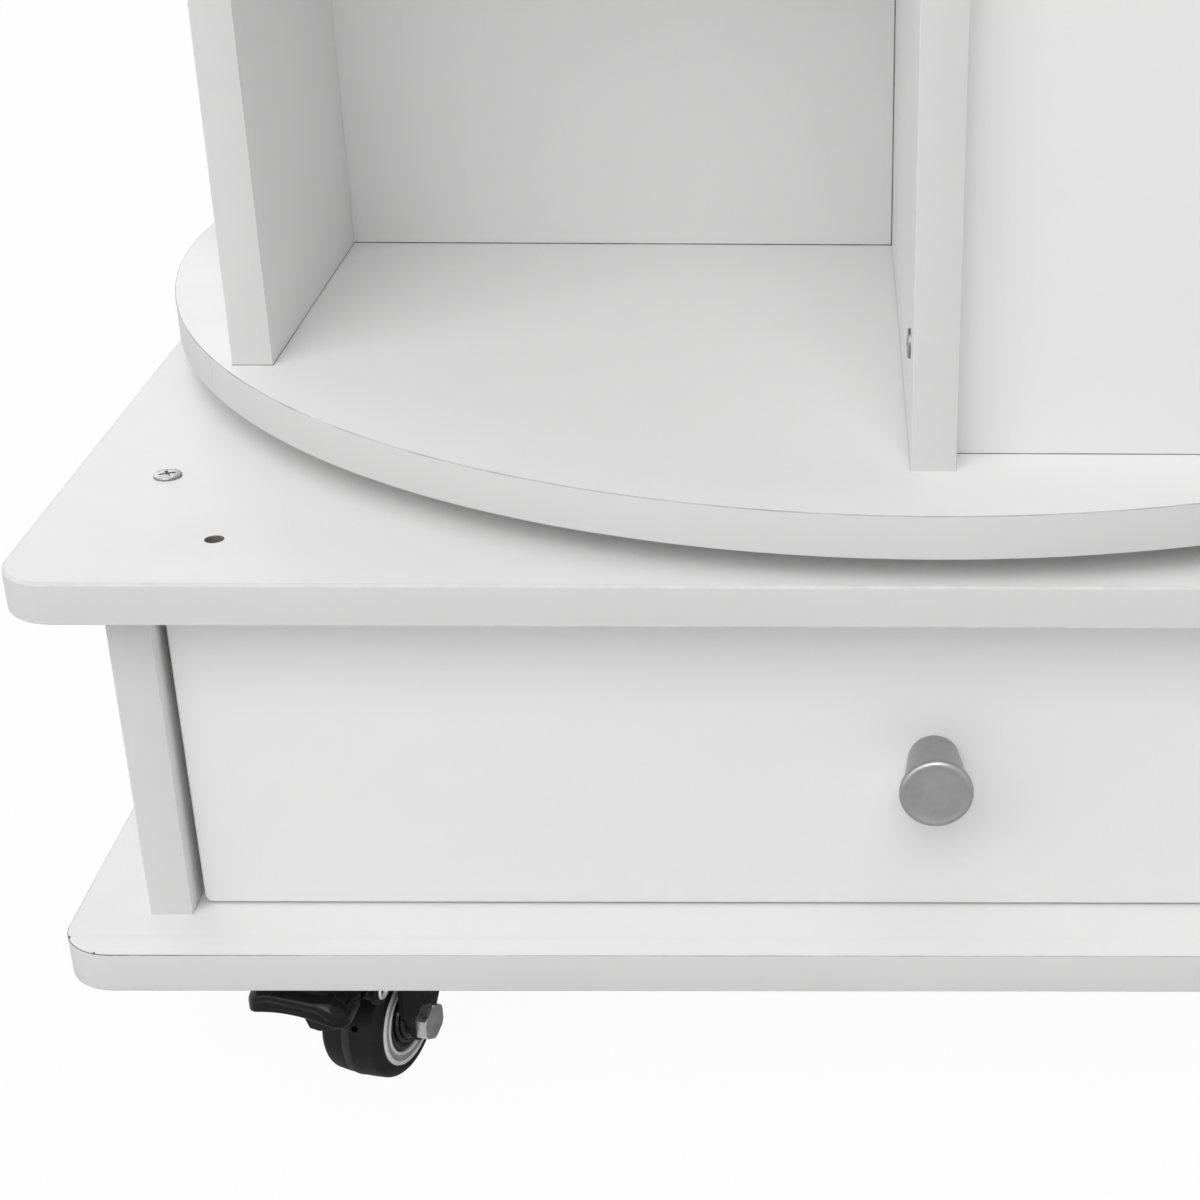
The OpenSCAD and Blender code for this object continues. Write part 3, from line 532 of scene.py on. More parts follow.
def lathe(profile, n=96, kinds=None, closed=False):
    """Turns a profile of (radius, height) round Z. When closed, its last point joins its first."""
    points, rings = [], []
    for r, z in profile:
        count = 1 if r < 1e-9 else n
        rings.append(list(range(len(points), len(points) + count)))
        turns = [TAU * k / n for k in range(count)]
        points += [(r * math.cos(t), r * math.sin(t), z) for t in turns]
    faces, made_kinds = [], []
    for j, (a, b) in enumerate(zip(rings, rings[1:] + rings[:1] if closed else rings[1:])):
        if len(a) == 1 and len(b) == 1:
            continue
        for k in range(n):
            after = (k + 1) % n
            if len(a) == 1:
                face = [a[0], b[after], b[k]]
            elif len(b) == 1:
                face = [a[k], a[after], b[0]]
            else:
                face = [a[k], a[after], b[after], b[k]]
            faces.append(face)
            made_kinds.append(kinds[j] if kinds else 0)
    return points, faces, made_kinds


CUT_SCALE = 1000  # cuts are made in millimetres: in metres the solver merges close points


def boolean(shape, cutter):
    """Cuts one shape from another. Faces that the cutter leaves get the next free kind."""
    objects = []
    cut_kind = max(shape[2]) + 1
    for points, faces, kinds in (shape, (cutter[0], cutter[1], [cut_kind] * len(cutter[1]))):
        mesh = bpy.data.meshes.new("cut")
        mesh.from_pydata([tuple(Vector(p) * CUT_SCALE) for p in points], [], faces)
        for _ in range(cut_kind + 1):
            mesh.materials.append(None)
        for polygon, kind in zip(mesh.polygons, kinds):
            polygon.material_index = kind
        made = bpy.data.objects.new("cut", mesh)
        bpy.context.collection.objects.link(made)
        objects.append(made)
    work, knife = objects
    modifier = work.modifiers.new("cut", "BOOLEAN")
    modifier.operation, modifier.solver, modifier.object = "DIFFERENCE", "EXACT", knife
    modifier.material_mode = "INDEX"
    bpy.context.view_layer.update()
    result = work.evaluated_get(bpy.context.evaluated_depsgraph_get()).to_mesh()
    points = [tuple(v.co / CUT_SCALE) for v in result.vertices]
    faces = [list(p.vertices) for p in result.polygons]
    kinds = [p.material_index for p in result.polygons]
    work.to_mesh_clear()
    for made in objects:
        mesh = made.data
        bpy.data.objects.remove(made)
        bpy.data.meshes.remove(mesh)
    return points, faces, kinds


# Boards

ARRIS, WING_ARRIS = 0.35 * MM, 0.5 * MM
BOTTOM_ARRIS, TOP_ARRIS = 0.28 * MM, 1.1 * MM
FRONT_ARRIS, FRONT_CORNER = 0.7 * MM, 3 * MM
RIM_N, HOLE_N = 360, 32  # points round a disc and round a hole
CORNER_HOLE_R = 3.3 * MM
HEAD_GAP = 0.15 * MM
SEAM_ANGLE = 210.7
SEAM_Z, SEAM_H = 5.5 * MM, 7 * MM
SEAM_DEPTH, SEAM_HALF, SEAM_ARRIS = 0.5 * MM, 0.15 * MM, 0.05 * MM
FOOT_GROW, FOOT_H = 0.03 * MM, 0.3 * MM

# Where the banding is chipped: x, y and radius in millimetres, and the turn of the spot.
CHIPS = ((-301.9, -293.1, 0.8, 92), (-290.4, -303.1, 0.65, 78.5))
CHIP_SHAPE = Matrix.Diagonal((1.5, 0.9, 0.7, 1))

# Materials for FACE, EDGE, ROUND, HOLE and FOOT. A cut takes the kind after the last one used. The
# dark foot material on a FOOT arris is painted contact shadow; on the chips of CHIPPED it is raw
# chipboard.
HARD = ("laminate", "band", "joint", "joint")
SOFT = ("laminate", "band", "soft", "chipboard", "foot")
CHIPPED = ("laminate", "band", "joint", "foot", "foot")

# Sides of an upright panel's outline, drawn as (y, z) for plane_x or as (z, x) for plane_y.
X_BOTTOM = 0
Y_LEFT, Y_RIGHT, Y_BOTTOM = 0, 2, 3


def painted_shadow_strip(x0, y0, x1, y1, z):
    """A thin dark sheet under an upright board, a hair wider than the board: painted contact
    shadow.
    """
    ring = rectangle(x0 - FOOT_GROW, y0 - FOOT_GROW, x1 + FOOT_GROW, y1 + FOOT_GROW)
    points = [(x, y, z) for x, y in ring] + [(x, y, z + FOOT_H) for x, y in ring]
    return points, [[3, 2, 1, 0], [4, 5, 6, 7]] + strip(0, 4, 4), [0] * 6


def chip_cutter(x, y, size, turn):
    """A flattened ball with its middle on the top arris of the bottom board."""
    ball = lathe([(0, -size)] + arc((0, 0), size, -60, 60, 4) + [(0, size)], 11)
    return moved(ball, at(x, y, BOARD, rz=turn) @ CHIP_SHAPE)


def seam_cutter():
    """An upright slit in the rim, where the ends of its banding meet."""
    outline = rectangle(-SEAM_DEPTH, -SEAM_HALF, SEAM_DEPTH, SEAM_HALF)
    angle = math.radians(SEAM_ANGLE)
    place = at(ROUND_R * math.cos(angle), ROUND_R * math.sin(angle), SEAM_Z, rz=SEAM_ANGLE)
    return moved(slab(outline, SEAM_H, SEAM_ARRIS, steps=1), place)


def base_boards():
    """The bottom board with its chips, and the top board with its two open holes."""
    outline = rounded_rectangle(BASE, BASE, BASE_CORNER)
    board = slab(outline, BOARD, BOTTOM_ARRIS)
    for x, y, size, turn in CHIPS:
        board = boolean(board, chip_cutter(x * MM, y * MM, size * MM, turn))
    dress("bottom_board", "base", "white_laminate", (board, CHIPPED, at(z=BOTTOM_Z)))
    centres = [(side * CORNER_HOLE_X, CORNER_HOLE_Y) for side in (-1, 1)]
    holes = [circle(CORNER_HOLE_R, HOLE_N, centre) for centre in centres]
    board = slab(outline, BOARD, TOP_ARRIS, holes, 5)
    dress("top_board", "base", "white_laminate", (board, SOFT, at(z=TOP_Z)))


def base_panels():
    """The sides and the back between the two boards."""
    low, high = BOTTOM_Z + BOARD, TOP_Z
    panel = slab(rectangle(-END_Y, low, END_Y, high), BOARD, ARRIS)
    for side, x in (("left", -SIDE_OUT), ("right", SIDE_IN)):
        dress(f"side_panel_{side}", "base", "white_laminate", (panel, SOFT, plane_x(x)))
    # The back's foot arris is dark: painted contact shadow on the bottom board.
    panel = slab(rectangle(low, -SIDE_IN, high, SIDE_IN), BOARD, ARRIS, feet=(Y_BOTTOM,))
    dress("back_panel", "base", "white_laminate", (panel, SOFT, plane_y(END_Y - BOARD)))


def drawer_front():
    """The front, with small round corners and a soft arris."""
    middle = FRONT_Z + FRONT_H / 2
    corners = rounded_rectangle(FRONT_H, 2 * FRONT_HALF, FRONT_CORNER, 6)
    board = slab([(z + middle, x) for z, x in corners], BOARD, FRONT_ARRIS, steps=4)
    dress("drawer_front", "drawer", "white_laminate", (board, SOFT, plane_y(FRONT_Y)))


def tower_discs():
    """The round boards. The lowest has the seam, and the top has its screws let in."""
    plain = slab(circle(ROUND_R, RIM_N), BOARD, ARRIS)
    spots = [quarter(k) @ Vector((x, y, 0)) for k in range(4) for x, y in DISC_SCREWS]
    holes = [circle(SCREW_HEAD_R + HEAD_GAP, HOLE_N, spot) for spot in spots]
    discs = {
        "turntable_board": boolean(plain, seam_cutter()),
        "round_shelf_1": plain,
        "round_shelf_2": plain,
        "round_shelf_3": plain,
        "round_top": slab(circle(ROUND_R, RIM_N), BOARD, ARRIS, holes),
    }
    for k, (node, shape) in enumerate(discs.items()):
        dress(node, "tower", "white_laminate", (shape, HARD, at(z=TURN_Z + k * PITCH_Z)))


def tower_panels():
    """In each tier a centre panel, two wings that butt against it, and four outer walls. The wings
    and walls stand on dark strips, and the panels' feet and the wings' butt ends have dark
    arrises: painted contact shadow.
    """
    for tier in range(1, TIER_N + 1):
        low = TURN_Z + BOARD + (tier - 1) * PITCH_Z
        high = low + TIER_H
        outline = rectangle(-REACH, low, REACH, high)
        centre = slab(outline, BOARD, ARRIS, feet=(X_BOTTOM,))
        dress(f"centre_panel_{tier}", "tower", "white_laminate",
              (centre, SOFT, plane_x(-HALF_T)))
        parts = []
        for x0, x1, inner in ((-REACH, -HALF_T, Y_RIGHT), (HALF_T, REACH, Y_LEFT)):
            outline = rectangle(low, x0, high, x1)
            # The wing's butt end and foot get dark arrises: painted shadow of the joint.
            wing = slab(outline, BOARD, WING_ARRIS, feet=(inner, Y_BOTTOM))
            parts.append((wing, SOFT, plane_y(-HALF_T)))
            parts.append((painted_shadow_strip(x0, -HALF_T, x1, HALF_T, low), "foot", at()))
        dress(f"wing_panels_{tier}", "tower", "white_laminate", *parts)
        x0, x1 = HALF_T, HALF_T + WALL_LEN
        wall = slab(rectangle(low, x0, high, x1), BOARD, ARRIS, feet=(Y_BOTTOM,))
        # joint: a dark strip of painted contact shadow under each wall
        joint = painted_shadow_strip(x0, -WALL_OUT, x1, -WALL_IN, low)
        parts = []
        for k in range(4):
            parts.append((wall, SOFT, quarter(k) @ plane_y(-WALL_OUT)))
            parts.append((joint, "foot", quarter(k)))
        dress(f"outer_walls_{tier}", "tower", "white_laminate", *parts)


# Screws

# The base's screws: x and y in millimetres, and the turn of the cross.
BASE_SCREWS = ((-269.5, -212, 24), (269.5, -212, -35), (-269.5, 212, 70), (269.5, 212, 10),
               (-120, 270.5, 48), (120, 270.5, -12))
HEAD_PROUD = 0.2 * MM
NECK_T, NECK_TAPER = 1.5 * MM, 0.7
CUT_OVER = 0.3 * MM
# The rim and the recess take the darker zinc: painted shade.
HEAD_KINDS = ("screw", "rim", "recess")


def cross_cutter(reach, width, depth):
    """A tapered cross, for the recess of a screw. Its mouth is at z = 0 and it points down."""
    tip_reach, tip_half = reach * 0.45, width * 0.3
    points = []
    for z, arm, half in ((CUT_OVER, reach, width / 2), (-depth, tip_reach, tip_half)):
        for k in range(4):
            turn = quarter(k)
            points += [tuple(turn @ Vector((x, y, z)))
                       for x, y in ((half, half), (half, arm), (-half, arm))]
    faces = [list(range(12)), list(range(23, 11, -1))] + [f[::-1] for f in strip(0, 12, 12)]
    return points, faces, [0] * len(faces)


def screw_head(dome, reach, width, depth):
    """A head on z = 0 with a bevelled rim, a dome and a cross recess."""
    r, t = SCREW_HEAD_R, SCREW_HEAD_T
    edge = t * 0.45
    profile = [(0, -NECK_T), (r * NECK_TAPER, -NECK_T), (r, 0)]
    profile += arc((r - edge, t - edge), edge, 0, 70, 4)
    profile += [(r * 0.6, t + dome * 0.6), (r * 0.3, t + dome * 0.9), (0, t + dome)]
    head = lathe(profile, 48, [1] * 5 + [0] * 5)
    points, faces, kinds = cross_cutter(reach, width, depth)
    return boolean(head, ([(x, y, z + t + dome) for x, y, z in points], faces, kinds))


def dress_screws(node, body, head, places):
    """Replaces a node of screws by their heads: the shanks are inside the boards."""
    dress(node, body, "zinc_screws", *[(head, HEAD_KINDS, place) for place in places], smooth=30)


def base_screw_heads():
    """Heads on the top board, and the same under the bottom board."""
    head = screw_head(0.15 * MM, 3.2 * MM, 1.2 * MM, 2.4 * MM)
    under_z = BOTTOM_Z + SCREW_HEAD_T - HEAD_PROUD
    spots = [(x * MM, y * MM, turn) for x, y, turn in BASE_SCREWS]
    places = [at(x, y, TOP_Z + BOARD, rz=turn) for x, y, turn in spots]
    places += [at(x, y, under_z, rx=180, rz=turn) for x, y, turn in spots]
    dress_screws("base_screws", "base", head, places)


def tower_screw_heads():
    """Heads in the cross, low and high in each tier, and those in the lowest and top boards."""
    dome = 0.3 * MM
    head = screw_head(dome, 2.9 * MM, 1.05 * MM, 2.2 * MM)
    places = []
    for i in range(TIER_N):
        low = TURN_Z + BOARD + i * PITCH_Z
        for k in range(4):
            for j, z in enumerate((WALL_SCREW_Z, TIER_H - WALL_SCREW_Z)):
                turn = 17 + 31 * (i + 2 * k + j)  # no two neighbours stand alike
                places.append(quarter(k) @ at(-HALF_T, -WALL_MID, low + z, ry=-90) @ at(rz=turn))
    under_z = TURN_Z + SCREW_HEAD_T - HEAD_PROUD
    flush_z = TURN_Z + BOARD + TIER_N * PITCH_Z - SCREW_HEAD_T - dome
    for k in range(4):
        for x, y in DISC_SCREWS:
            places.append(quarter(k) @ at(x, y, under_z, rx=180))
            places.append(quarter(k) @ at(x, y, flush_z, rz=40 * k))
    dress_screws("tower_screws", "tower", head, places)


# Knob


def knob():
    """The stem widens to its neck, and the rim's round edge stands above a shallow dish."""
    foot, neck, rim, length, rim_t, edge = 9.0, 11.6, 12.75, 26.5, 2.8, 1.5
    bevel, lip, dish = 0.4, 0.35, 0.34
    flare, back = rim - neck, length - rim_t
    stem = back - flare - bevel
    profile = [(0, 0), (foot - 0.3, 0), (foot - 0.06, 0.1), (foot, bevel)]
    profile += [(foot + (neck - foot) * k / 8, bevel + stem * k / 8) for k in range(1, 9)]
    profile += arc((rim, back - flare), flare, 165, 105, 4)
    profile += arc((rim - lip, back + lip), lip, -70, -10, 3)
    profile += arc((rim - edge, length - edge), edge, 0, 90, 12)
    slope = ((0.35, 0.03), (0.7, 0.12), (1.3, 0.26), (1.9, 0.32))
    profile += [(rim - edge - inwards, length - down) for inwards, down in slope]
    profile += [(rim * part, length - dish) for part in (0.5, 0.25, 0)]
    shape = lathe(scaled(profile), 128)
    dress("drawer_knob", "drawer", "satin_nickel",
          (shape, "nickel", at(KNOB_X, FRONT_Y, KNOB_Z, rx=90)), smooth=40)


# Casters: X along the axle, -Y in the trailing direction, heights above the floor

PIT_TURN, PIT_X = -108, 3.2 * MM
PRESSED_ARRIS, HAIR = 0.5 * MM, 0.02 * MM
FORK_HALF, FORK_T = 19 * MM, 2 * MM
CROWN_Z, CROWN_T = 62 * MM, 2.5 * MM
CROWN_FRONT, CROWN_BACK, CROWN_CORNER = 15 * MM, -12 * MM, 5 * MM
KING_R = 4 * MM
AXLE_R, PLAY, HEX_AF = 4 * MM, 0.1 * MM, 13 * MM
BOLT_HEAD_T, NUT_T, BOLT_PAST = 4.4 * MM, 6.5 * MM, 7 * MM
EAR_BACK, EAR_Z = 47 * MM, 56 * MM
AXLE = at(y=-TRAIL, z=WHEEL_R, ry=90)
EARS = at(y=-EAR_BACK, z=EAR_Z, ry=90)
SLEEVE_HALF, SLEEVE_R, SLEEVE_BORE = 16.7 * MM, 4.4 * MM, 2.05 * MM
SHOE_Y, SHOE_T = -51.6 * MM, 4.6 * MM
MOUNT_Z, MOUNT_T = 69.5 * MM, 2.5 * MM
MOUNT_W, MOUNT_L, MOUNT_CORNER = 60 * MM, 50 * MM, 5 * MM
MOUNT_FIX_X, MOUNT_FIX_Y, MOUNT_HOLE_R = 22 * MM, 17 * MM, 2.3 * MM


def side_place(x):
    """Puts a side view, drawn as distance back and height, on the plane at x."""
    return Matrix(((0, 0, 1, x), (-1, 0, 0, 0), (0, 1, 0, 0), (0, 0, 0, 1)))


def front_place(y):
    """Puts a front view, drawn as X and height, on the plane at y, thick away from the hub."""
    return Matrix(((1, 0, 0, 0), (0, 0, -1, y), (0, 1, 0, 0), (0, 0, 0, 1)))


def tyre():
    """Round shoulders, a low ridge with a lighter line along it that is a painted highlight, and a
    moulded pit beside it.
    """
    top, half_w, crown = 25.0, 12.4, 1.1
    ridge_x, ridge_half, ridge_h = -0.8, 1.6, 0.25
    bead_r, shoulder_r, tread_r = 19.0, 20.3, 23.0
    shoulder_x = half_w - 3.8
    crown_r = (half_w ** 2 + crown ** 2) / (2 * crown)

    def tread(x):
        ridge = ridge_h * max(0.0, 1 - ((x - ridge_x) / ridge_half) ** 2)
        return top - ridge_h - (crown_r - math.sqrt(crown_r ** 2 - x * x)) + ridge

    side = [(bead_r, half_w - 0.3), (bead_r + 0.3, half_w)]
    for t in (math.pi / 2 * k / 12 for k in range(12)):
        side.append((shoulder_r + (tread(shoulder_x) - shoulder_r) * math.sin(t),
                     shoulder_x + (half_w - shoulder_x) * math.cos(t)))
    across = [shoulder_x - 2 * shoulder_x * k / 60 for k in range(61)]
    profile = side + [(tread(x), x) for x in across] + [(r, -x) for r, x in reversed(side)]
    profile.reverse()
    kinds = []
    for (r0, x0), (r1, x1) in zip(profile, profile[1:] + profile[:1]):
        on_ridge = min(r0, r1) > tread_r and abs((x0 + x1) / 2 - ridge_x) < ridge_half
        kinds.append(int(on_ridge))
    body = lathe(scaled(profile), 180, kinds, closed=True)
    pit = lathe(scaled([(0, 21.6), (0.9, 21.6), (1.25, 23.6), (1.5, 26.5), (0, 26.5)]), 24)
    return boolean(body, moved(pit, at(z=PIT_X, rz=PIT_TURN) @ at(ry=90)))


def hub():
    """The grey ring (kind 0) with its groove (2), which is painted darker as shade, and the
    stepped black cover (1).
    """
    bead = [(19.0, 0.0), (19.0, 12.1), (18.8, 12.6), (18.2, 12.9), (17.5, 12.9), (17.1, 12.6)]
    groove = [(16.9, 12.2), (16.3, 12.0), (15.5, 12.0), (15.0, 12.3)]
    lip = [(14.8, 12.7), (14.3, 12.8), (13.9, 12.6), (13.7, 12.1), (13.7, 11.2)]
    cover = [(13.2, 11.2), (13.1, 12.0), (12.8, 12.4), (12.2, 12.5), (11.4, 12.4), (11.1, 12.0),
             (10.9, 11.6), (10.4, 11.6), (10.2, 12.6), (9.9, 13.3), (9.4, 13.5), (8.9, 13.3),
             (8.7, 12.9), (8.4, 12.9), (8.2, 14.2), (7.9, 14.8), (7.4, 15.0), (6.9, 15.1),
             (6.6, 15.6), (6.4, 16.5), (6.1, 16.7), (4.05, 16.7)]
    half, kinds = [], []
    for points, kind in ((bead, 0), (groove, 2), (lip, 0), (cover, 1)):
        half += points
        kinds += [kind] * len(points)
    kinds = kinds[1:]
    profile = [(r, -z) for r, z in reversed(half)] + half[1:]
    return lathe(scaled(profile), 128, kinds[::-1] + kinds + [1], closed=True)


def hexagon(low, high, chamfers):
    """A hexagon prism along Z with a corner on X, chamfered at its low end or its high end.
    It's cut by a cone: the points past flat_r from the middle drop by the slope."""
    n, flat_r, slope = 72, 0.53 * HEX_AF, math.tan(math.radians(30))
    turns = [TAU * k / n for k in range(n)]
    radii = [HEX_AF / 2 / math.cos(math.radians((360 * k / n) % 60 - 30)) for k in range(n)]
    cuts = [max(0.0, rho - flat_r) * slope for rho in radii]
    inner = [min(rho - HAIR, flat_r) for rho in radii]
    rings = [[(rho, low + cut * chamfers[0]) for rho, cut in zip(radii, cuts)],
             [(rho, high - cut * chamfers[1]) for rho, cut in zip(radii, cuts)]]
    if chamfers[0]:
        rings.insert(0, [(rho, low) for rho in inner])
    if chamfers[1]:
        rings.append([(rho, high) for rho in inner])
    points = [(r * math.cos(t), r * math.sin(t), z)
              for ring in rings for t, (r, z) in zip(turns, ring)]
    faces = [list(range(n))[::-1]]
    for j in range(len(rings) - 1):
        faces += strip(j * n, (j + 1) * n, n)
    faces.append([(len(rings) - 1) * n + k for k in range(n)])
    return points, faces, [1] + [0] * (len(faces) - 2) + [1]


def axle_bolt():
    """The shank, the head past the fork's leg at +X, and the nut past the leg at -X."""
    end = -FORK_HALF - BOLT_PAST
    r, tip = AXLE_R - PLAY / 2, 0.6 * MM
    shank = [(0, end), (AXLE_R - tip, end), (r, end + tip), (r, FORK_HALF), (0, FORK_HALF)]
    return [lathe(shank, 48), hexagon(FORK_HALF, FORK_HALF + BOLT_HEAD_T, (0, 1)),
            hexagon(-FORK_HALF - NUT_T, -FORK_HALF, (1, 0))]


def fork(braked):
    """Two legs, with an ear behind a notch for the brake, and the crown that joins them."""
    leg = [(-14.2, 61.2, 0.6), (20, 25, 8), (33.0, 36.0, 1.5)]
    notch, ear = [(33.4, 52.6, 0), (39.6, 52.6, 0)], [(47, 56, 5.5), (38, 60.9, 1.0)]
    leg += notch + ear if braked else [(27.0, 57.6, 1.5)]
    leg.append((12, 61.2, 0.6))
    axle_hole = circle(AXLE_R + PLAY, 40, (TRAIL, WHEEL_R))
    side = slab(scaled(tangent_outline(leg)), FORK_T, PRESSED_ARRIS, [axle_hole])
    shapes = [(side, side_place(x)) for x in (-FORK_HALF, FORK_HALF - FORK_T)]
    disc = circle(FORK_HALF - HAIR, 96)
    plate = rounded_rectangle(2 * FORK_HALF, CROWN_FRONT - CROWN_BACK, CROWN_CORNER, 6)
    plate = [(x, y + (CROWN_FRONT + CROWN_BACK) / 2) for x, y in plate]
    eye = circle(KING_R + PLAY, 40)
    for plan in (disc, plate):
        shapes.append((slab(plan, CROWN_T, 1.0 * MM, [eye], 4), at(z=CROWN_Z - CROWN_T)))
    return shapes


def ease(value, low, high):
    """Rises smoothly from 0 at low to 1 at high."""
    t = min(1.0, max(0.0, (value - low) / (high - low)))
    return t * t * (3 - 2 * t)


def pedal_tray():
    """Pressed tray, in millimetres. Its top falls to the hub, and its rim rolls down to a lip
    that is deepest at the outer corners. Each ring holds an inset and a drop for every point."""
    half, root, back, tip, shift = 20.2, 14.5, 43.0, 75.0, -1.2
    outer_r, inner_r, thick, hem = 6.0, 3, 1.8, 1.2
    plan = dense(tangent_outline([
        (-root + inner_r, -back - inner_r, inner_r),
        (-half + outer_r + shift, -tip + outer_r, outer_r),
        (half - outer_r + shift, -tip + outer_r, outer_r),
        (root - inner_r, -back - inner_r, inner_r)]), 1.0)
    n = len(plan)
    low_z, rise, rise_from, rise_over = 61.0, 5.0, 46.0, 22.0
    climb = [min(1.0, max(0.0, (-y - rise_from) / rise_over)) for _, y in plan]
    tops = [low_z + rise * part ** 0.9 for part in climb]
    lips = [5.2 + (2.4 + 2.4 * (x / 17) ** 2) * ease(-y, 47, 69) for x, y in plan]
    # The roll is narrow along the tip and wide along the sides: 0 to 1 from one to the other.
    sides = [ease(abs(x - shift), 9, 19) for x, _ in plan]
    wide = [2.6 + 6.4 * side for side in sides]
    deep = [min(2.6 + 4.4 * side, lip - 1.3) for side, lip in zip(sides, lips)]
    rings = []
    for a in (math.pi / 2 * k / 8 for k in range(9)):  # the roll outside
        rings.append(([w * (1 - math.sin(a)) for w in wide],
                      [h * (1 - math.cos(a)) for h in deep]))
    for k in range(1, 6):  # the wall, hollow along the tip
        hollow = 0.7 * math.sin(math.pi * k / 6)
        rings.append(([hollow * (1 - side) for side in sides],
                      [h + (lip - hem - h) * k / 6 for h, lip in zip(deep, lips)]))
    for a in (math.pi / 2 * k / 5 for k in range(6)):  # round the hem
        rings.append(([hem * (1 - math.cos(a))] * n,
                      [max(h + 0.05, lip - hem * (1 - math.sin(a)))
                       for h, lip in zip(deep, lips)]))
    rings.append(([thick] * n, [lip - 0.2 for lip in lips]))
    for a in (math.pi / 2 * k / 5 for k in range(6)):  # the roll inside
        rings.append(([thick + (w - 0.6) * (1 - math.cos(a)) for w in wide],
                      [thick + (h - 0.6) * (1 - math.sin(a)) for h in deep]))
    points = [(x, y, top - drop) for insets, drops in rings
              for (x, y), top, drop in zip(inset(plan, insets), tops, drops)]
    faces = []
    for k in range(len(rings) - 1):
        faces += [f[::-1] for f in strip(k * n, (k + 1) * n, n)]
    for start, flip in ((0, False), ((len(rings) - 1) * n, True)):
        loop = [Vector((x, y, 0)) for x, y, _ in points[start:start + n]]
        for tri in tessellate_polygon([loop]):
            p, q, t = (loop[i] for i in tri)
            up = (q - p).cross(t - p).z > 0
            tri = tri if up != flip else tri[::-1]
            faces.append([start + i for i in tri])
    return [tuple(c * MM for c in p) for p in points], faces, [0] * len(faces)


def pedal():
    """The tray, the shoe that meets the tread, and the sleeve on the pin."""
    shoe = tangent_outline([(-9, 60, 0.4), (-9, 44, 0.6), (-6.8, 39.9, 1.0), (-3.5, 39.6, 1.0),
                            (7.6, 43.6, 1.2), (8.6, 60, 0.4)])
    half, r, bevel = SLEEVE_HALF, SLEEVE_R, 0.5 * MM
    sleeve = [(SLEEVE_BORE, -half), (r - bevel, -half), (r, -half + bevel),
              (r, half - bevel), (r - bevel, half), (SLEEVE_BORE, half)]
    return [(pedal_tray(), at()),
            (slab(scaled(shoe), SHOE_T, PRESSED_ARRIS), front_place(SHOE_Y)),
            (lathe(sleeve, 48, closed=True), EARS)]


def pin():
    """Pin of the brake pedal with a rolled, hollow rivet head at each end."""
    half = 19.0
    end = [(2.0, half), (2.9, half), (3.2, half + 0.3), (3.2, half + 0.7), (2.9, half + 1.1),
           (2.4, half + 1.2), (1.9, half + 1.0), (1.6, half + 0.5), (1.5, half - 1.0),
           (0, half - 1.0)]
    return lathe(scaled([(r, -z) for r, z in reversed(end)] + end), 48)


def caster_plate():
    """The mounting plate with its four holes, and under it the collar and the king pin."""
    spots = [(x * MOUNT_FIX_X, y * MOUNT_FIX_Y) for x in (-1, 1) for y in (-1, 1)]
    holes = [circle(MOUNT_HOLE_R, HOLE_N, spot) for spot in spots]
    outline = rounded_rectangle(MOUNT_W, MOUNT_L, MOUNT_CORNER, 8)
    mount = slab(outline, MOUNT_T, PRESSED_ARRIS, holes)
    collar = [(0, 62.3), (15.4, 62.3), (16.6, 62.5), (17.0, 63.1), (17.0, 64.4), (16.6, 65.2),
              (15.2, 65.8), (14.6, 66.6), (14.2, 68.6), (13.8, 69.5), (0, 69.5)]
    king = [(0, 57.0), (4.6, 57.0), (5.9, 57.4), (6.7, 58.1), (7.0, 59.2), (4.0, 59.2),
            (4.0, 62.5)]
    return [(mount, at(z=MOUNT_Z)), (lathe(scaled(collar)), at()),
            (lathe(scaled(king), 64), at())]


def placed(shapes, material, place):
    """Parts for dress, from shapes that have a place of their own within place."""
    return [(shape, material, place @ own) for shape, own in shapes]


def casters():
    plates = []
    rubber, centre = tyre(), hub()
    for name, (side_x, side_y, turn) in CASTERS.items():
        spot = at(side_x * CASTER_X, side_y * CASTER_Y)
        local = spot @ at(rz=HEADING + turn)
        braked = side_y < 0
        plates += placed(caster_plate(), "caster_plate", spot)
        dress(f"caster_fork_{name}", f"caster_{name}", "black_fork",
              *placed(fork(braked), "fork", local), smooth=40)
        if braked:
            rivet = Piece(f"pedal_pin_{name}").add(pin(), "bolt", local @ EARS)
            rivet.done(f"caster_{name}", "bright_bolt")
            dress(f"brake_pedal_{name}", f"pedal_{name}", "black_pedal",
                  *placed(pedal(), "pedal", local), smooth=50)
        axle = local @ AXLE
        bolt = [(shape, ("bolt", "bolt_face"), axle) for shape in axle_bolt()]
        dress(f"axle_bolt_{name}", f"caster_{name}", "bright_bolt", *bolt)
        dress(f"caster_tyre_{name}", f"wheel_{name}", "black_tyre",
              (rubber, ("tyre", "tread_line", "tyre"), axle), smooth=50)
        dress(f"caster_hub_{name}", f"wheel_{name}", "grey_hub",
              (centre, ("ring", "cover", "groove"), axle), smooth=50)
    dress("caster_plates", "base", "caster_plate_steel", *plates, smooth=40)


# Nodes that keep their CAD shape, by how their names start

NODE_MATERIALS = {
    "plate_screws": "screw", "drawer_screws": "screw", "turntable_screws": "screw",
    "slide_rails": "rail", "slide_ball_cages": "ball", "turntable_balls": "ball",
    "turntable_lower_plate": "plate", "turntable_upper_plate": "plate",
    "drawer_side": "laminate", "drawer_back": "laminate", "drawer_bottom": "laminate",
    "drawer_dowels": "beech", "tower_dowels": "beech",
}


def dress_nodes():
    for name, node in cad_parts.items():
        for start, material in NODE_MATERIALS.items():
            if name.startswith(start):
                node.data.materials.clear()
                node.data.materials.append(MAT[material])


# Light and stage

WORLD_LIGHT = 0.1
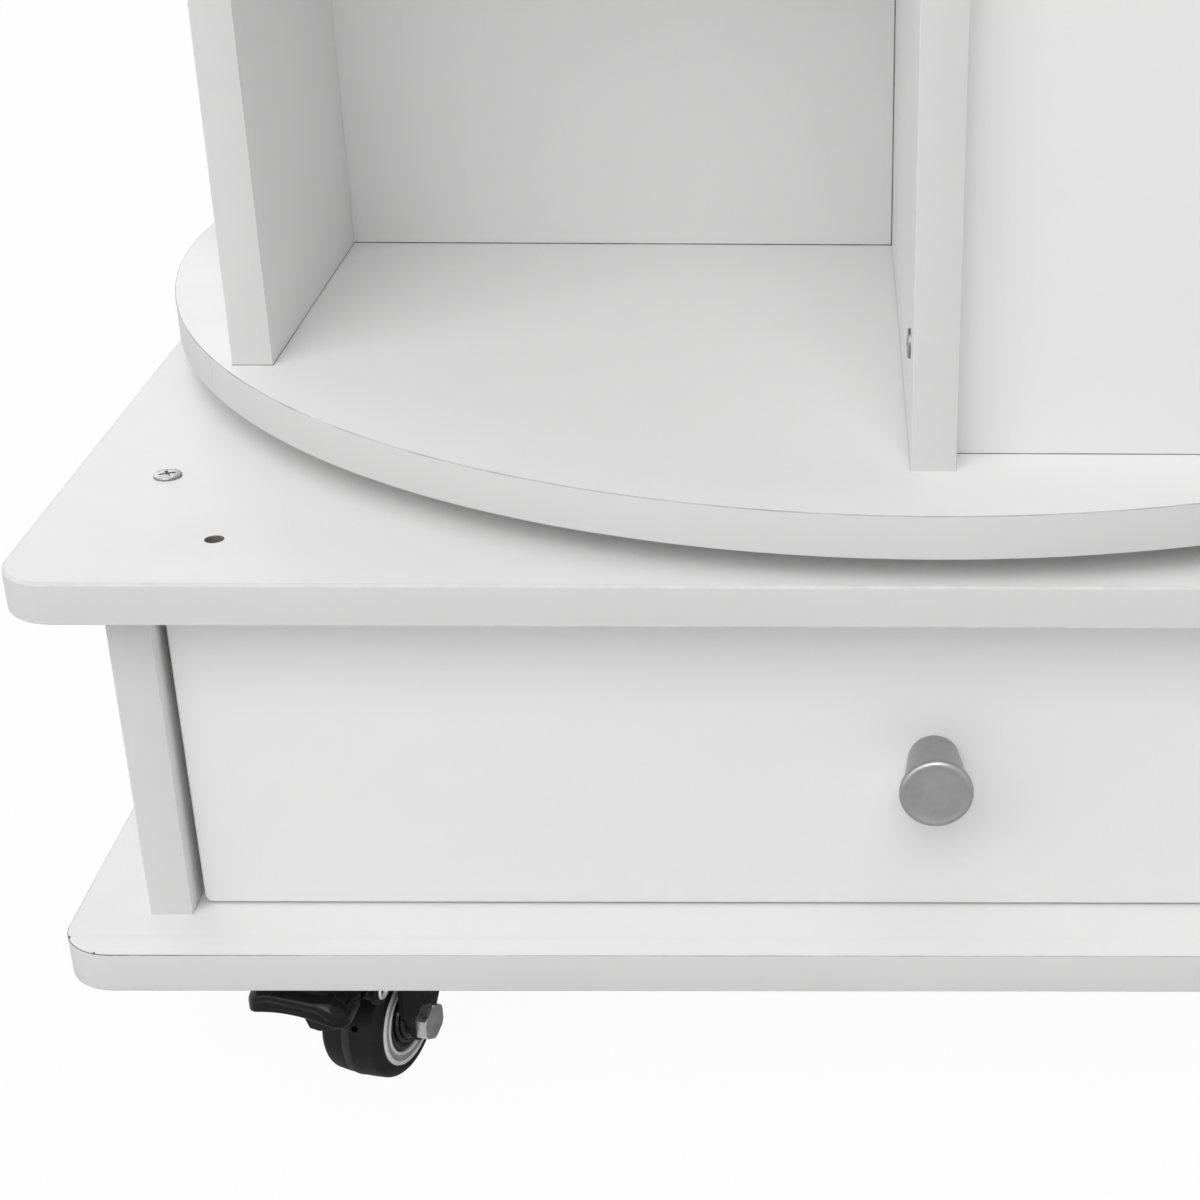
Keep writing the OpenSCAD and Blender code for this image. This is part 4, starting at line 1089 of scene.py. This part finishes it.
# Square lamps: name, place, target, side in metres, watts.
LAMPS = (
    ("top_lamp", (0.0, -1.6, 12.1), (0, 0, 0.5), 10.4, 480),
    ("high_lamp", (-0.4, -11.2, 10.4), (0, 0, 0.4), 8.0, 840),
    ("high_left_lamp", (-8.0, -9.6, 9.2), (0, 0, 0.4), 8.0, 420),
    ("left_lamp", (-12.8, -6.4, 3.8), (0, 0, 0.6), 8.8, 190),
    ("back_left_lamp", (-7.2, 9.0, 6.6), (0, 0, 0.6), 10.5, 290),
    ("back_right_lamp", (7.2, 9.0, 6.6), (0, 0, 0.6), 10.5, 430),
)
WHITE = (1, 1, 1, 1)
FLOOR_TONE = (0.85, 0.85, 0.85, 1)
FLOOR_ROUGHNESS = 0.9
FLOOR_GLOW = 0.96
FLOOR_HALF = 15.0


def mixed(tree, factor, first, second):
    """Mixes two shaders by a factor, a number or a socket."""
    made = tree.nodes.new("ShaderNodeMixShader")
    if isinstance(factor, bpy.types.NodeSocket):
        tree.links.new(factor, made.inputs[0])
    else:
        made.inputs[0].default_value = factor
    tree.links.new(first, made.inputs[1])
    tree.links.new(second, made.inputs[2])
    return made.outputs[0]


def light():
    """A dim world that the camera and glossy rays see as white, and the lamps."""
    world = bpy.data.worlds.new("studio")
    bpy.context.scene.world = world
    world.use_nodes = True
    tree = world.node_tree
    plain = tree.nodes["Background"]
    plain.inputs["Color"].default_value = WHITE
    plain.inputs["Strength"].default_value = WORLD_LIGHT
    white = tree.nodes.new("ShaderNodeBackground")
    white.inputs["Color"].default_value = WHITE
    white.inputs["Strength"].default_value = 1.0
    rays = tree.nodes.new("ShaderNodeLightPath")
    seen = rays.outputs["Is Camera Ray"]
    for name in ("Is Glossy Ray", "Is Transmission Ray"):
        either = tree.nodes.new("ShaderNodeMath")
        either.operation = "MAXIMUM"
        tree.links.new(seen, either.inputs[0])
        tree.links.new(rays.outputs[name], either.inputs[1])
        seen = either.outputs[0]
    surface = mixed(tree, seen, plain.outputs[0], white.outputs[0])
    tree.links.new(surface, tree.nodes["World Output"].inputs["Surface"])
    for name, place, target, size, watts in LAMPS:
        data = bpy.data.lights.new(name, "AREA")
        data.shape = "SQUARE"
        data.size = size
        data.energy = watts
        lamp = bpy.data.objects.new(name, data)
        lamp.location = place
        lamp.visible_camera = False
        lamp.rotation_mode = "QUATERNION"
        lamp.rotation_quaternion = (Vector(target) - Vector(place)).to_track_quat("-Z", "Y")
        bpy.context.collection.objects.link(lamp)


def stage():
    """A wide pale floor. Most of what the camera sees of it glows, the rest takes the shadow."""
    material = bpy.data.materials.new("studio_floor")
    material.use_nodes = True
    tree = material.node_tree
    plain = tree.nodes["Principled BSDF"]
    plain.inputs["Base Color"].default_value = FLOOR_TONE
    plain.inputs["Roughness"].default_value = FLOOR_ROUGHNESS
    glow = tree.nodes.new("ShaderNodeEmission")
    glow.inputs["Color"].default_value = WHITE
    bright = mixed(tree, FLOOR_GLOW, plain.outputs[0], glow.outputs[0])
    rays = tree.nodes.new("ShaderNodeLightPath")
    surface = mixed(tree, rays.outputs["Is Camera Ray"], plain.outputs[0], bright)
    tree.links.new(surface, tree.nodes["Material Output"].inputs["Surface"])
    mesh = bpy.data.meshes.new("studio_floor")
    corners = rectangle(-FLOOR_HALF, -FLOOR_HALF, FLOOR_HALF, FLOOR_HALF)
    mesh.from_pydata([(x, y, 0) for x, y in corners], [], [(0, 1, 2, 3)])
    mesh.materials.append(material)
    floor = bpy.data.objects.new("studio_floor", mesh)
    bpy.context.collection.objects.link(floor)


dress_nodes()
base_boards()
base_panels()
drawer_front()
tower_discs()
tower_panels()
base_screw_heads()
tower_screw_heads()
knob()
casters()
light()
stage()
